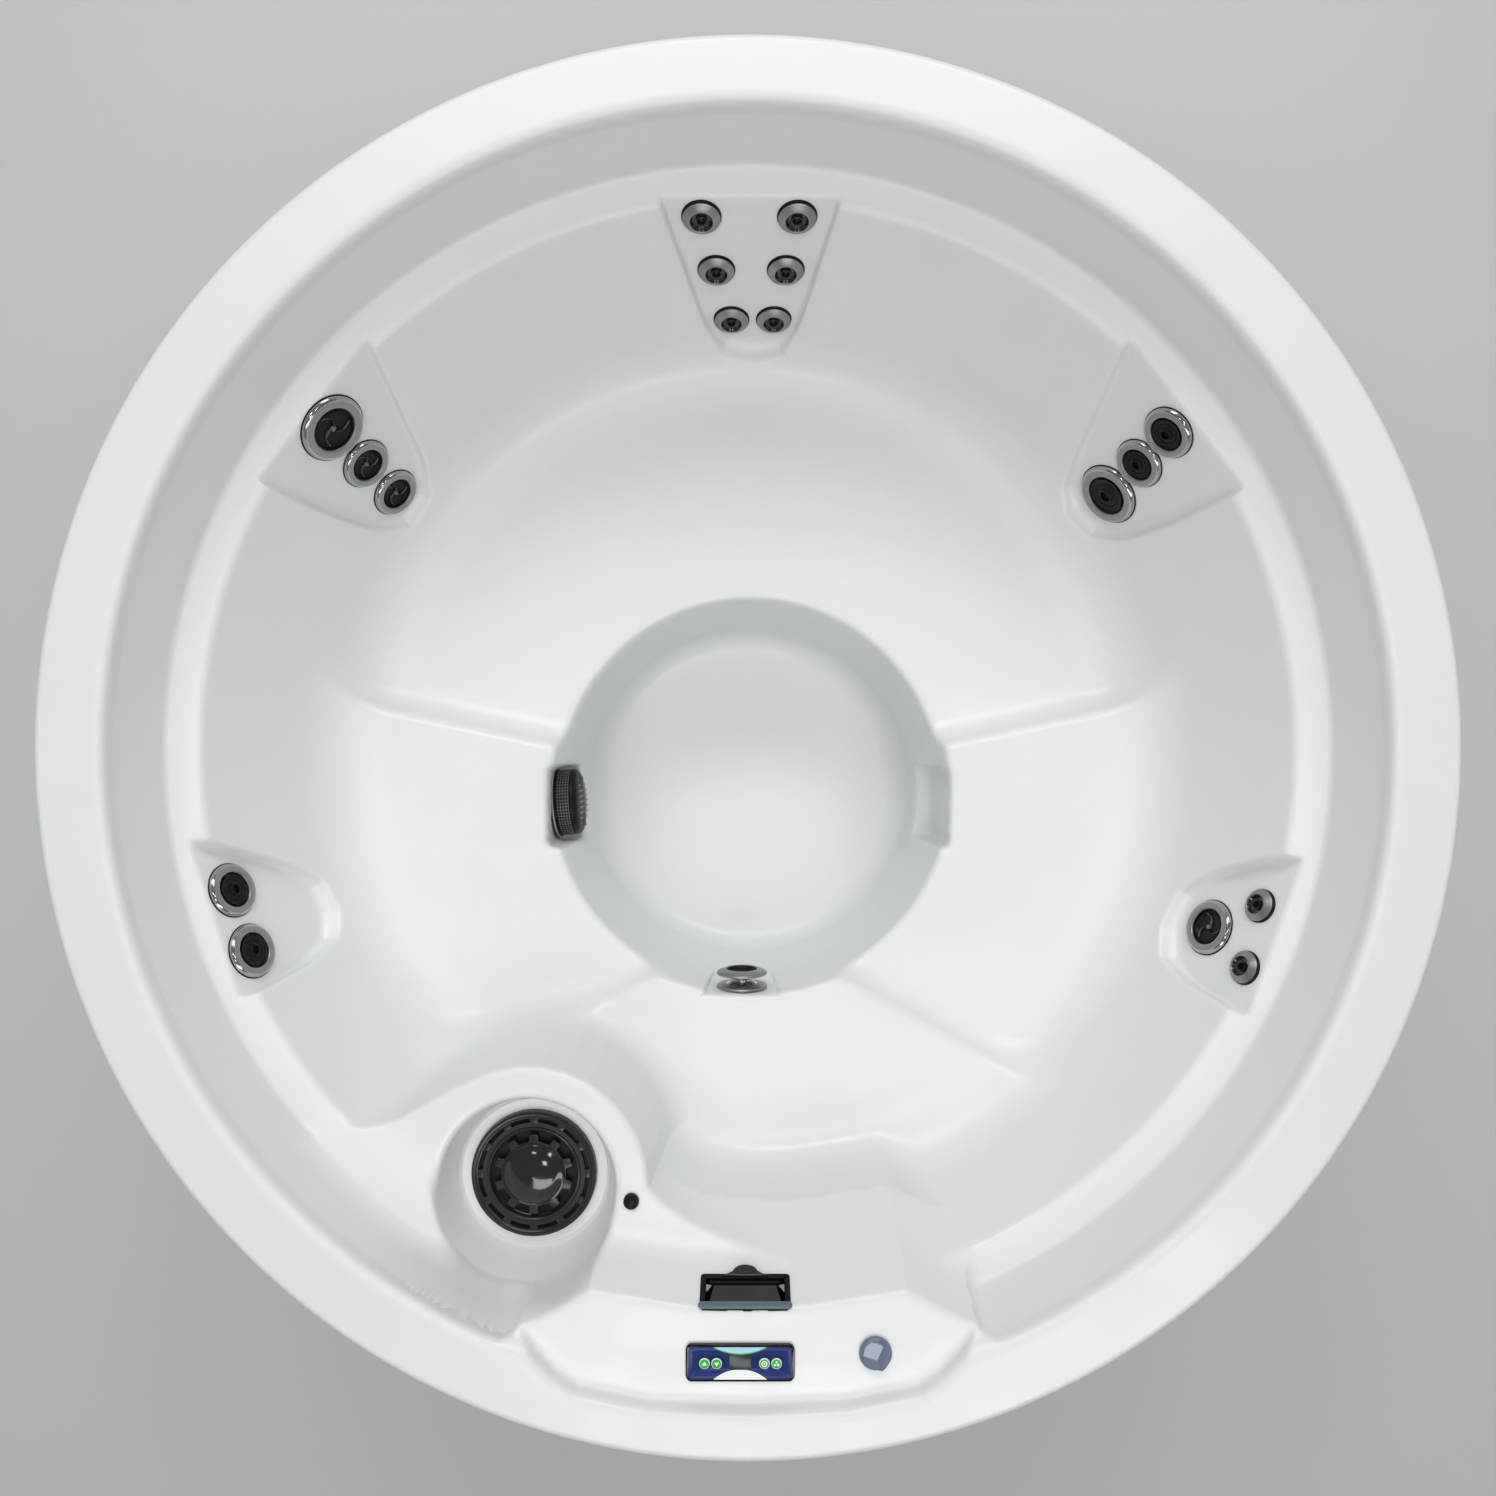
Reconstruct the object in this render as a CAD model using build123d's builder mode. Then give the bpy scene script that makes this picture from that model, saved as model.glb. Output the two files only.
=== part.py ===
from build123d import *
import math
import os

os.makedirs("parts", exist_ok=True)

# The tub stands on Z = 0 with its centre line on the Z axis, and its controls lie at -Y.
# A depth is measured down from the top of the rim. All lengths are millimetres.

# Overall form of the moulded shell
tub_height = 840
rim_outer_radius = 990
rim_inner_radius = 892
shell_wall = 6
rim_lip_height = 55
rim_roll_radius = 14
ledge_depth = 130
ledge_fall = 4
ledge_outer_radius = 878
ledge_inner_radius = 830
backrest_lean_share = 0.38
front_seat_depth = 360
side_seat_depth = 405
back_seat_depth = 465
floor_depth = 770
seat_blend_height = 55
seat_blend_width = 45
footwell_top_radius = 356
footwell_top_shift_x = 5
footwell_top_shift_y = -72
footwell_floor_radius = 331
footwell_floor_shift_y = -90

# Clearances
seat_gap = 0.3
running_gap = 0.05
slip_gap = 0.5
cut_overrun = 20
shell_part_room = 14
surface_lap = 10

# Seat steps: the inner and outer end of each step, on the higher seat's edge
back_step_inner = (345, 4)
back_step_outer = (702, 79)
front_step_inner = (150, -394)
front_step_outer = (550, -614)
step_reach_share = 2.0
step_slope = 22

# Control deck, a low shelf let into the rim above the front seat
deck_depth = 28
deck_tip = (321, -815)
deck_hump = (224, -766)
deck_waist = (80, -790)
deck_recess = ((295, -832), (246, -890), (137, -916), (0, -923))
bank_fold_depth = 205
bank_draft = 75

# Filter deck, a drop-shaped widening of the ledge
filter_centre = (-335, -666)
filter_bank_radius = 184
filter_bank_draft = 24
filter_bank_start_angle = 108
filter_bank_run_in = ((-640, -600), (-529, -562), (-450, -517))
filter_bank_run_out = ((-126, -690), (-84, -723), (-32, -742))
filter_well_radius = 137
filter_well_floor_radius = 118
filter_well_depth = 75

# Footwell wall: two shallow recesses and the jet's pad
side_recess_width = 150
side_recess_foot_depth = 645
side_recess_y = -106
side_recess_sink = 38
foot_jet_x = -11
foot_jet_depth = 418
foot_pad_width = 130
foot_pad_foot_depth = 505
foot_pad_sink = 6

# Flat jet facets: azimuth, and the outline as seen from inside with y up the slope
facet_lean_share = 0.33
facet_rise = 8
facet_reach = 45
facet_corner_radius = 26
back_facet_azimuth = 90
back_facet_setback = 3
back_facet_outline = ((-135, 0), (-62, -332), (-22, -356), (38, -356), (80, -332), (139, 0))
upper_left_azimuth = 142.4
upper_right_azimuth = 37.5
upper_facet_setback = 6
upper_facet_outline = ((-130, 0), (-119, -150), (-82, -308), (-25, -330), (36, -304), (137, 0))
lower_left_azimuth = 198.1
lower_right_azimuth = 340.4
lower_facet_setback = 18
lower_left_outline = ((-118, 0), (-116, -98), (-101, -212), (-62, -238), (22, -226), (47, -191), (126, 0))
lower_right_outline = ((-122, 0), (-55, -164), (-8, -206), (78, -202), (114, -134), (127, 0))

# Jets: outside radius of each ring, and its place on the facet
micro_ring_radius = 30.8
lower_micro_ring_radius = 26.5
medium_ring_radius = 42
large_ring_radius = 54
lower_swirl_ring_radius = 45
back_micro_places = ((-72, -40), (76, -40), (-52, -148), (62, -148), (-29, -262), (45, -262))
upper_left_places = ((0, -57), (-13, -156), (-22, -249))
upper_right_places = ((9, -55), (20, -140), (31, -238))
lower_left_places = ((39, -52), (-60, -52))
lower_swirl_place = (23, -132)
lower_micro_places = ((-36, -50), (62, -38))

# Jet proportions, as shares of the ring's radius
neck_share = 0.74
bore_share = 0.68
opening_share = 0.62
nut_share = 0.86
eye_share = 0.5
eye_drop_share = 0.09

# Jet heights and lengths
ring_foot_height = 2.5
ring_height = 9
ring_barrel_length = 12
ring_bevel = 4
jet_nut_thickness = 8
jet_cup_length = 52
jet_cup_bore = 34
rotor_height = 6
rotor_core_radius = 6
rotor_blade_width = 5
rotor_blade_count = 3
rotor_disc_thickness = 2.5
nozzle_height = 8
nozzle_tip_radius = 9
nozzle_bore_radius = 6
nozzle_shoulder = 1.7
nozzle_ball_band = 3.5

# Footwell jet
foot_flange_radius = 45
foot_flange_thickness = 5
foot_neck_radius = 22
foot_standoff = 17
foot_nozzle_radius = 45
foot_nozzle_thickness = 11
foot_nozzle_mouth_radius = 29
foot_bore_radius = 14

# Suction fitting
suction_radius = 68
suction_depth = 572
suction_body_radius = 36
suction_body_length = 60
suction_flange_thickness = 4
suction_cover_height = 48
suction_cover_wall = 3
suction_slot_count = 24
suction_slot_width = 5
suction_slot_height = 28
suction_dome_rise = 5

# Filter
canister_radius = 94
canister_wall = 4
canister_flange_radius = 114
canister_flange_thickness = 5
canister_floor_room = 112.7
cartridge_radius = 78
cartridge_core_radius = 27
cartridge_headroom = 65
pleat_count = 36
pleat_depth = 12
filter_lid_radius = 98
filter_lid_thickness = 12
filter_lid_bore_radius = 64
filter_lid_spigot_length = 20
lid_slot_inner_radius = 70
lid_slot_outer_radius = 87
lid_slot_count = 24
lid_slot_width = 5
cap_radius = 62
cap_tooth_count = 10
cap_tooth_width = 16
cap_tooth_depth = 9
cap_plate_thickness = 7
cap_dome_radius = 46
cap_dome_rise = 12

# Small fitting on the filter deck
ozone_place = (-176, -683)
ozone_cap_radius = 11.7
ozone_cap_height = 4
ozone_stem_radius = 7
ozone_stem_length = 45

# Waterfall spout
spout_width = 129
spout_centre_x = -4
spout_mouth = 55
spout_edge_gap = 1.5
spout_flange = 5
spout_flange_thickness = 3
spout_depth = 30
spout_wall = 3
spout_duct_width = 90
spout_duct_height = 16
spout_duct_length = 20
spout_duct_rise = 10
spout_ramp_height = 18
spout_nub_height = 7
spout_nub_reach = 14
spout_nub_radius = 17

# Control panel
panel_centre = (-11, -862)
panel_width = 153
panel_depth = 53
panel_corner = 10
panel_bezel_height = 6
panel_sink_margin = 7
panel_tray_height = 20
overlay_margin = 3
overlay_thickness = 1
button_radius = 7.6
button_rise = 1.6
button_stem = 6
button_y_offset = 0
button_places = (-50, -33, 34, 51)
button_travel = 1.5

# Air control
knob_centre = (179, -849)
knob_skirt_radius = 23
knob_skirt_height = 5
knob_grip_radius = 20
knob_grip_height = 15
knob_cut_share = 0.42
knob_shaft_radius = 8
knob_shaft_length = 30
air_valve_radius = 19
air_valve_length = 70
air_flange_radius = 22
air_flange_thickness = 2

# Base, cabinet and access panel
base_radius = 950
base_thickness = 12
base_ring_width = 40
cabinet_radius = 948
cabinet_wall = 14
slat_count = 72
groove_width = 7
groove_depth = 4
access_half_width = 330
access_sill_height = 70
access_top_height = 560
access_gap = 2
screw_head_radius = 8
screw_head_height = 3
screw_shank_radius = 3
screw_inset = 30

# Pump, heater and control box
pump_x = 150
pump_y = -690
pump_axis_height = 118
wet_end_radius = 88
wet_end_length = 90
wet_end_wall = 7
pump_foot_width = 150
motor_radius = 72
motor_length = 230
impeller_radius = 66
impeller_thickness = 22
impeller_vane_count = 6
impeller_vane_share = 0.67
shaft_radius = 9
suction_port_radius = 30
pipe_radius = 30
pipe_wall = 3
control_box_size = (300, 130, 210)
control_box_place = (-310, -700)
control_box_wall = 4
heater_radius = 32
heater_length = 330
heater_height = 75
heater_start_x = -350
manifold_thickness = 26
manifold_margin = 12
manifold_foot_depth = 530
ring_main_radius = 785
ring_main_pipe_radius = 24
ring_main_start = -25
ring_main_end = 212
pipe_bend = 44
foot_pipe_radius = 18
riser_place = (40, -797)
riser_height = 290
return_bend_place = (-405, -797)
return_bend_height = 240
return_turn_place = (-560, -620)
suction_route = ((-60, -690, 118), (-60, -545, 118), (-300, -520, 118), (-480, -330, 200))
suction_turn_x = -510
foot_pipe_route = ((-11, -545), (-11, -620))

# Drain and power gland, low on the cabinet
drain_azimuth = 232
drain_height = 52
drain_radius = 15
drain_flange_radius = 26
drain_flange_thickness = 4
drain_stub_length = 18
drain_cap_radius = 20
drain_cap_length = 22
gland_azimuth = 300
gland_radius = 11
gland_nut_radius = 16
gland_nut_thickness = 6
gland_stub_length = 18

# Values worked out from the sizes above
rim_z = tub_height
ledge_z = tub_height - ledge_depth
floor_z = tub_height - floor_depth
deck_z = tub_height - deck_depth
bank_fold_z = tub_height - bank_fold_depth
well_floor_z = ledge_z - filter_well_depth
pump_floor = base_thickness + seat_gap
canister_length = well_floor_z - pump_floor - control_box_size[2] - canister_floor_room
cartridge_length = canister_length - cartridge_headroom
front_seat_z = tub_height - front_seat_depth


def save(piece, name):
    piece.label = name
    export_step(piece, "parts/" + name + ".step")


def back_radius(depth):
    return ledge_inner_radius - backrest_lean_share * (depth - ledge_depth)


def side_plane(plane):
    return Plane(origin=plane.origin, x_dir=plane.x_dir, z_dir=-plane.y_dir)


def plane_axis(plane):
    return Axis(plane.origin, plane.z_dir)


def spun(plane, profile):
    """A solid of revolution about the plane's own Z, from (radius, height) points."""
    with BuildPart() as turned:
        with BuildSketch(side_plane(plane)):
            with BuildLine():
                Polyline(*profile, close=True)
            make_face()
        revolve(axis=plane_axis(plane))
    return turned.part


def disc(plane, radius, low, high):
    return spun(plane, ((0, low), (radius, low), (radius, high), (0, high)))


def tube_part(plane, inner, outer, low, high):
    return spun(plane, ((inner, low), (outer, low), (outer, high), (inner, high)))


def facet_plane(azimuth, setback):
    turn = math.radians(azimuth)
    lean = math.atan(facet_lean_share)
    reach = ledge_inner_radius + setback
    foot = (reach * math.cos(turn), reach * math.sin(turn), ledge_z)
    inward = (-math.cos(turn) * math.cos(lean), -math.sin(turn) * math.cos(lean), math.sin(lean))
    sideways = (math.sin(turn), -math.cos(turn), 0)
    return Plane(origin=foot, x_dir=sideways, z_dir=inward)


def place_on(plane, place, height=0):
    where = plane.from_local_coords((place[0], place[1], height))
    return Plane(origin=where, x_dir=plane.x_dir, z_dir=plane.z_dir)


def mirrored(outline):
    return tuple((-x, y) for x, y in reversed(outline))


facets = {
    "back": (facet_plane(back_facet_azimuth, back_facet_setback), back_facet_outline),
    "upper_left": (facet_plane(upper_left_azimuth, upper_facet_setback), upper_facet_outline),
    "upper_right": (facet_plane(upper_right_azimuth, upper_facet_setback), mirrored(upper_facet_outline)),
    "lower_left": (facet_plane(lower_left_azimuth, lower_facet_setback), lower_left_outline),
    "lower_right": (facet_plane(lower_right_azimuth, lower_facet_setback), lower_right_outline),
}


# Space inside the tub, with every wall moved outwards by grow
def bowl_space(grow):
    top = rim_z + cut_overrun if grow == 0 else rim_z
    seat_radius = back_radius(front_seat_depth)
    blend_radius = back_radius(front_seat_depth - seat_blend_height)
    profile = (
        (0, top),
        (rim_inner_radius + grow, top),
        (rim_inner_radius + grow, rim_z - deck_depth),
        (ledge_outer_radius + grow, ledge_z - grow),
        (ledge_inner_radius + grow, ledge_z - ledge_fall - grow),
        (blend_radius + grow, front_seat_z + seat_blend_height - grow),
        (seat_radius - seat_blend_width, front_seat_z - grow),
        (0, front_seat_z - grow),
    )
    return spun(Plane.XY, profile)


def seat_space(depth, above_depth, inner_end, outer_end, grow):
    """A lower seat: a ring of the cone, kept only behind its two step lines."""
    top = tub_height - above_depth + seat_blend_height + surface_lap
    bottom = tub_height - depth - grow
    blend_z = tub_height - depth + seat_blend_height
    blend_radius = back_radius(depth - seat_blend_height) + grow
    seat_radius = back_radius(depth)
    reach_x = inner_end[0] + (outer_end[0] - inner_end[0]) * step_reach_share
    reach_y = inner_end[1] + (outer_end[1] - inner_end[1]) * step_reach_share
    upper_radius = back_radius(tub_height - top) - surface_lap + grow
    profile = (
        (0, top),
        (upper_radius, top),
        (blend_radius, blend_z - grow),
        (seat_radius - seat_blend_width, bottom),
        (0, bottom),
    )
    top_shift = step_slope - step_slope * (top - bottom) / (depth - above_depth)
    with BuildPart() as zone:
        for height, shift in ((bottom, step_slope - grow), (top, top_shift - grow)):
            with BuildSketch(Plane.XY.offset(height)):
                with BuildLine():
                    Polyline(
                        (-reach_x, reach_y + shift),
                        (-inner_end[0], inner_end[1] + shift),
                        (inner_end[0], inner_end[1] + shift),
                        (reach_x, reach_y + shift),
                        (reach_x, rim_outer_radius),
                        (-reach_x, rim_outer_radius),
                        close=True,
                    )
                make_face()
        loft(ruled=True)
    with BuildPart() as space:
        add(spun(Plane.XY, profile))
        add(zone.part, mode=Mode.INTERSECT)
    return space.part


def footwell_space(grow):
    with BuildPart() as space:
        with BuildSketch(Plane.XY.offset(front_seat_z + surface_lap)):
            with Locations((footwell_top_shift_x, footwell_top_shift_y)):
                Circle(footwell_top_radius + grow)
        with BuildSketch(Plane.XY.offset(floor_z - grow)):
            with Locations((0, footwell_floor_shift_y)):
                Circle(footwell_floor_radius + grow)
        loft()
    return space.part


def facet_space(plane, outline, grow):
    raised = tuple((x, y + facet_rise if y == 0 else y) for x, y in outline)
    with BuildPart() as space:
        with BuildSketch(plane.offset(-grow)) as flat:
            with BuildLine():
                Polyline(*raised, close=True)
            make_face()
            low = flat.vertices().group_by(Axis((0, 0, 0), plane.y_dir))[:-1]
            fillet([corner for group in low for corner in group], facet_corner_radius)
            if grow:
                offset(amount=grow, kind=Kind.INTERSECTION)
        extrude(amount=facet_reach)
    return space.part


def control_block(grow):
    """What stands under the control deck: a sloping bank, and an upright wall below its fold."""
    inner = (
        (-deck_tip[0], deck_tip[1]),
        (-deck_hump[0], deck_hump[1]),
        (-deck_waist[0], deck_waist[1]),
        (deck_waist[0], deck_waist[1]),
        (deck_hump[0], deck_hump[1]),
        (deck_tip[0], deck_tip[1]),
    )
    outside = ((deck_tip[0] + bank_draft, -rim_outer_radius), (-deck_tip[0] - bank_draft, -rim_outer_radius))
    upper = tuple((x, y - grow) for x, y in inner) + outside
    lower = tuple((x, y - grow + bank_draft) for x, y in inner) + outside
    with BuildPart() as block:
        with BuildSketch(Plane.XY.offset(deck_z - grow)):
            with BuildLine():
                Polyline(*upper, close=True)
            make_face()
        with BuildSketch(Plane.XY.offset(bank_fold_z - grow)):
            with BuildLine():
                Polyline(*lower, close=True)
            make_face()
        loft(ruled=True)
        with BuildSketch(Plane.XY.offset(bank_fold_z - grow)):
            with BuildLine():
                Polyline(*lower, close=True)
            make_face()
        extrude(amount=front_seat_z - surface_lap - bank_fold_z)
    return block.part


def filter_outline(swell):
    centre = Vector(filter_centre[0], filter_centre[1])
    radius = filter_bank_radius + swell
    start = centre + Vector(radius, 0).rotate(Axis.Z, filter_bank_start_angle)
    middle = centre + Vector(radius, 0).rotate(Axis.Z, filter_bank_start_angle / 2)
    end = centre + Vector(radius, 0)
    run_in = [(x, y + swell) for x, y in filter_bank_run_in]
    run_out = [(x + swell, y + swell) for x, y in filter_bank_run_out]
    outside = [(run_out[-1][0], -rim_outer_radius), (run_in[0][0], -rim_outer_radius)]
    with BuildLine() as outline:
        Polyline(*run_in, (start.X, start.Y))
        ThreePointArc((start.X, start.Y), (middle.X, middle.Y), (end.X, end.Y))
        Polyline((end.X, end.Y), *run_out, *outside, run_in[0])
    return outline.line


def filter_block(grow):
    upper = filter_outline(-grow)
    lower = filter_outline(filter_bank_draft - grow)
    with BuildPart() as block:
        with BuildSketch(Plane.XY.offset(ledge_z - grow)):
            add(upper)
            make_face()
        with BuildSketch(Plane.XY.offset(tub_height - side_seat_depth - surface_lap - grow)):
            add(lower)
            make_face()
        loft(ruled=True)
    return block.part


def well_space(grow):
    well_plane = Plane(origin=(filter_centre[0], filter_centre[1], ledge_z))
    profile = (
        (0, cut_overrun),
        (filter_well_radius + grow, cut_overrun),
        (filter_well_radius + grow, 0),
        (filter_well_floor_radius + grow, -filter_well_depth - grow),
        (0, -filter_well_depth - grow),
    )
    return spun(well_plane, profile)


def deck_space(grow):
    right = tuple((x, y) for x, y in deck_recess)
    left = tuple((-x, y) for x, y in reversed(deck_recess[:-1]))
    inner = (deck_recess[0][0], deck_hump[1] + surface_lap)
    ends = ((-inner[0], inner[1]), inner)
    top = cut_overrun if grow == 0 else 0
    with BuildPart() as space:
        with BuildSketch(Plane.XY.offset(deck_z - grow)):
            with BuildLine():
                Polyline(*right, *left, *ends, close=True)
            make_face()
            if grow:
                offset(amount=grow, kind=Kind.INTERSECTION)
        extrude(amount=deck_depth + grow + top)
    return space.part


def recess_space(side, grow):
    """A shallow recess in the footwell wall, open at the seat's edge."""
    face_x = footwell_floor_radius + side_recess_sink + grow
    with BuildPart() as space:
        with BuildSketch(Plane.XY.offset(tub_height - side_recess_foot_depth - grow)):
            with Locations((side * (face_x - side_recess_width / 2), side_recess_y)):
                Rectangle(side_recess_width, side_recess_width + 2 * grow)
        extrude(amount=side_recess_foot_depth - side_seat_depth + grow)
    return space.part


def foot_pad_space(grow):
    face_y = footwell_floor_shift_y - footwell_floor_radius - foot_pad_sink - grow
    with BuildPart() as space:
        with BuildSketch(Plane.XY.offset(tub_height - foot_pad_foot_depth - grow)):
            with Locations((foot_jet_x, face_y + foot_pad_width / 2)):
                Rectangle(foot_pad_width + 2 * grow, foot_pad_width)
        extrude(amount=foot_pad_foot_depth - front_seat_depth + grow)
    return space.part


def tub_space(grow):
    with BuildPart() as space:
        add(bowl_space(grow))
        add(seat_space(side_seat_depth, front_seat_depth, front_step_inner, front_step_outer, grow))
        add(seat_space(back_seat_depth, side_seat_depth, back_step_inner, back_step_outer, grow))
        add(control_block(grow), mode=Mode.SUBTRACT)
        add(filter_block(grow), mode=Mode.SUBTRACT)
        for plane, outline in facets.values():
            add(facet_space(plane, outline, grow))
        add(footwell_space(grow))
        add(recess_space(-1, grow))
        add(recess_space(1, grow))
        add(foot_pad_space(grow))
        add(well_space(grow))
        add(deck_space(grow))
    return space.part


# Every jet that sits on a facet: name, plane, ring radius and kind
jets = []
for number, place in enumerate(back_micro_places, start=1):
    jets.append(("back_jet_%d" % number, place_on(facets["back"][0], place), micro_ring_radius, "micro"))
for number, place in enumerate(upper_left_places, start=1):
    size = large_ring_radius if number == 1 else medium_ring_radius
    jets.append(("upper_left_jet_%d" % number, place_on(facets["upper_left"][0], place), size, "swirl"))
for number, place in enumerate(upper_right_places, start=1):
    size = large_ring_radius if number == 3 else medium_ring_radius
    jets.append(("upper_right_jet_%d" % number, place_on(facets["upper_right"][0], place), size, "aim"))
for number, place in enumerate(lower_left_places, start=1):
    jets.append(("lower_left_jet_%d" % number, place_on(facets["lower_left"][0], place), medium_ring_radius, "aim"))
swirl_place = place_on(facets["lower_right"][0], lower_swirl_place)
jets.append(("lower_right_jet_1", swirl_place, lower_swirl_ring_radius, "swirl"))
for number, place in enumerate(lower_micro_places, start=2):
    micro_place = place_on(facets["lower_right"][0], place)
    jets.append(("lower_right_jet_%d" % number, micro_place, lower_micro_ring_radius, "micro"))

# Planes of the single fittings
foot_wall_y = footwell_floor_shift_y - footwell_floor_radius - foot_pad_sink
foot_jet_plane = Plane(origin=(foot_jet_x, foot_wall_y, tub_height - foot_jet_depth), x_dir=(1, 0, 0), z_dir=(0, 1, 0))
suction_wall_x = -(footwell_floor_radius + side_recess_sink)
suction_plane = Plane(
    origin=(suction_wall_x, side_recess_y, tub_height - suction_depth), x_dir=(0, 1, 0), z_dir=(1, 0, 0)
)
filter_plane = Plane(origin=(filter_centre[0], filter_centre[1], well_floor_z))
ozone_plane = Plane(origin=(ozone_place[0], ozone_place[1], ledge_z))
panel_plane = Plane(origin=(panel_centre[0], panel_centre[1], deck_z))
knob_plane = Plane(origin=(knob_centre[0], knob_centre[1], deck_z))
bank_drop = bank_fold_depth - deck_depth
bank_slope = math.hypot(bank_draft, bank_drop)
spout_reach = spout_edge_gap + spout_mouth / 2
spout_plane = Plane(
    origin=(
        spout_centre_x,
        deck_waist[1] + spout_reach * bank_draft / bank_slope,
        deck_z - spout_reach * bank_drop / bank_slope,
    ),
    x_dir=(1, 0, 0),
    z_dir=(0, bank_drop, bank_draft),
)
spout_body_width = spout_width - 2 * spout_flange
spout_body_height = spout_mouth - 2 * spout_flange


# Shell
def rim_flange():
    """The flat rim, rolled over into a short lip at its outer edge."""
    roll = rim_roll_radius
    corner = rim_outer_radius - roll
    half_turn = roll * math.sin(math.pi / 4)
    profile = (
        (rim_inner_radius, -shell_wall),
        (rim_inner_radius, 0),
        (corner, 0),
        (corner + half_turn, half_turn - roll),
        (rim_outer_radius, -roll),
        (rim_outer_radius, -rim_lip_height),
        (rim_outer_radius - shell_wall, -rim_lip_height),
        (rim_outer_radius - shell_wall, -roll),
        (corner, -shell_wall),
    )
    return spun(Plane.XY.offset(rim_z), profile)


def build_shell():
    with BuildPart() as shell:
        add(tub_space(shell_wall))
        add(rim_flange())
        add(tub_space(0), mode=Mode.SUBTRACT)
        for name, plane, radius, kind in jets:
            hole = neck_share * radius + slip_gap
            add(disc(plane, hole, -shell_wall - cut_overrun, cut_overrun), mode=Mode.SUBTRACT)
        add(disc(foot_jet_plane, foot_neck_radius + slip_gap, -cut_overrun, cut_overrun), mode=Mode.SUBTRACT)
        add(disc(suction_plane, suction_body_radius + slip_gap, -cut_overrun, cut_overrun), mode=Mode.SUBTRACT)
        add(disc(filter_plane, canister_radius + slip_gap, -cut_overrun, cut_overrun), mode=Mode.SUBTRACT)
        add(disc(ozone_plane, ozone_stem_radius + slip_gap, -cut_overrun, cut_overrun), mode=Mode.SUBTRACT)
        add(disc(knob_plane, air_valve_radius + slip_gap, -cut_overrun, cut_overrun), mode=Mode.SUBTRACT)
        with BuildSketch(panel_plane.offset(-cut_overrun)):
            cut_margin = 2 * panel_sink_margin - 2 * slip_gap
            Rectangle(panel_width - cut_margin, panel_depth - cut_margin)
        extrude(amount=2 * cut_overrun, mode=Mode.SUBTRACT)
        with BuildSketch(spout_plane.offset(-cut_overrun)):
            Rectangle(spout_body_width + 2 * slip_gap, spout_body_height + 2 * slip_gap)
        extrude(amount=2 * cut_overrun, mode=Mode.SUBTRACT)
    return shell.part


# The sheet is one moulding. Its solid is parted under the seats and along two lines through
# the middle, one of them across the filter's well, so that collision can follow its hollows.
def parted(sheet):
    across = Vector(filter_centre[0], filter_centre[1])
    along = Vector(-filter_centre[1], filter_centre[0])
    with BuildPart() as pieces:
        add(sheet)
        split(bisect_by=Plane.XY.offset(tub_height - back_seat_depth - shell_part_room), keep=Keep.BOTH)
        for normal in (along, across):
            split(bisect_by=Plane(origin=(0, 0, 0), z_dir=normal), keep=Keep.BOTH)
    return pieces.part


save(parted(build_shell()), "shell")


# Jet bodies behind the wall
def jet_cup(plane, radius):
    neck = neck_share * radius
    bore = bore_share * radius
    nut = nut_share * radius
    nut_top = -shell_wall - seat_gap
    profile = (
        (0, -jet_cup_length),
        (neck, -jet_cup_length),
        (neck, nut_top - jet_nut_thickness),
        (nut, nut_top - jet_nut_thickness),
        (nut, nut_top),
        (neck, nut_top),
        (neck, 0),
        (bore, 0),
        (bore, -jet_cup_bore),
        (0, -jet_cup_bore),
    )
    return spun(plane, profile)


def jet_bodies(prefixes, name):
    with BuildPart() as bodies:
        for jet, plane, radius, kind in jets:
            if jet.startswith(prefixes):
                add(jet_cup(plane, radius))
    save(bodies.part, name)


jet_bodies(("back",), "back_jet_bodies")
jet_bodies(("upper", "lower"), "side_jet_bodies")


# Jet rings and what turns inside them
def jet_ring(plane, radius, name):
    barrel = bore_share * radius - running_gap
    opening = opening_share * radius
    profile = (
        (opening, -ring_barrel_length),
        (barrel, -ring_barrel_length),
        (barrel, seat_gap),
        (radius, seat_gap),
        (radius, ring_foot_height),
        (radius - ring_bevel, ring_height),
        (opening + ring_bevel, ring_height),
        (opening, ring_height - ring_foot_height),
    )
    save(spun(plane, profile), name)


def micro_jet(plane, radius, name):
    barrel = bore_share * radius - running_gap
    crown = ring_height + ring_foot_height
    profile = (
        (0, -ring_barrel_length),
        (barrel, -ring_barrel_length),
        (barrel, seat_gap),
        (radius, seat_gap),
        (radius, ring_foot_height),
        (radius - ring_bevel, ring_height),
        (opening_share * radius, crown),
        (0, crown),
    )
    with BuildPart() as eyeball:
        add(spun(plane, profile))
        eye = place_on(plane, (0, -eye_drop_share * radius))
        add(disc(eye, eye_share * radius, -cut_overrun, cut_overrun), mode=Mode.SUBTRACT)
    save(eyeball.part, name)


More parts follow.
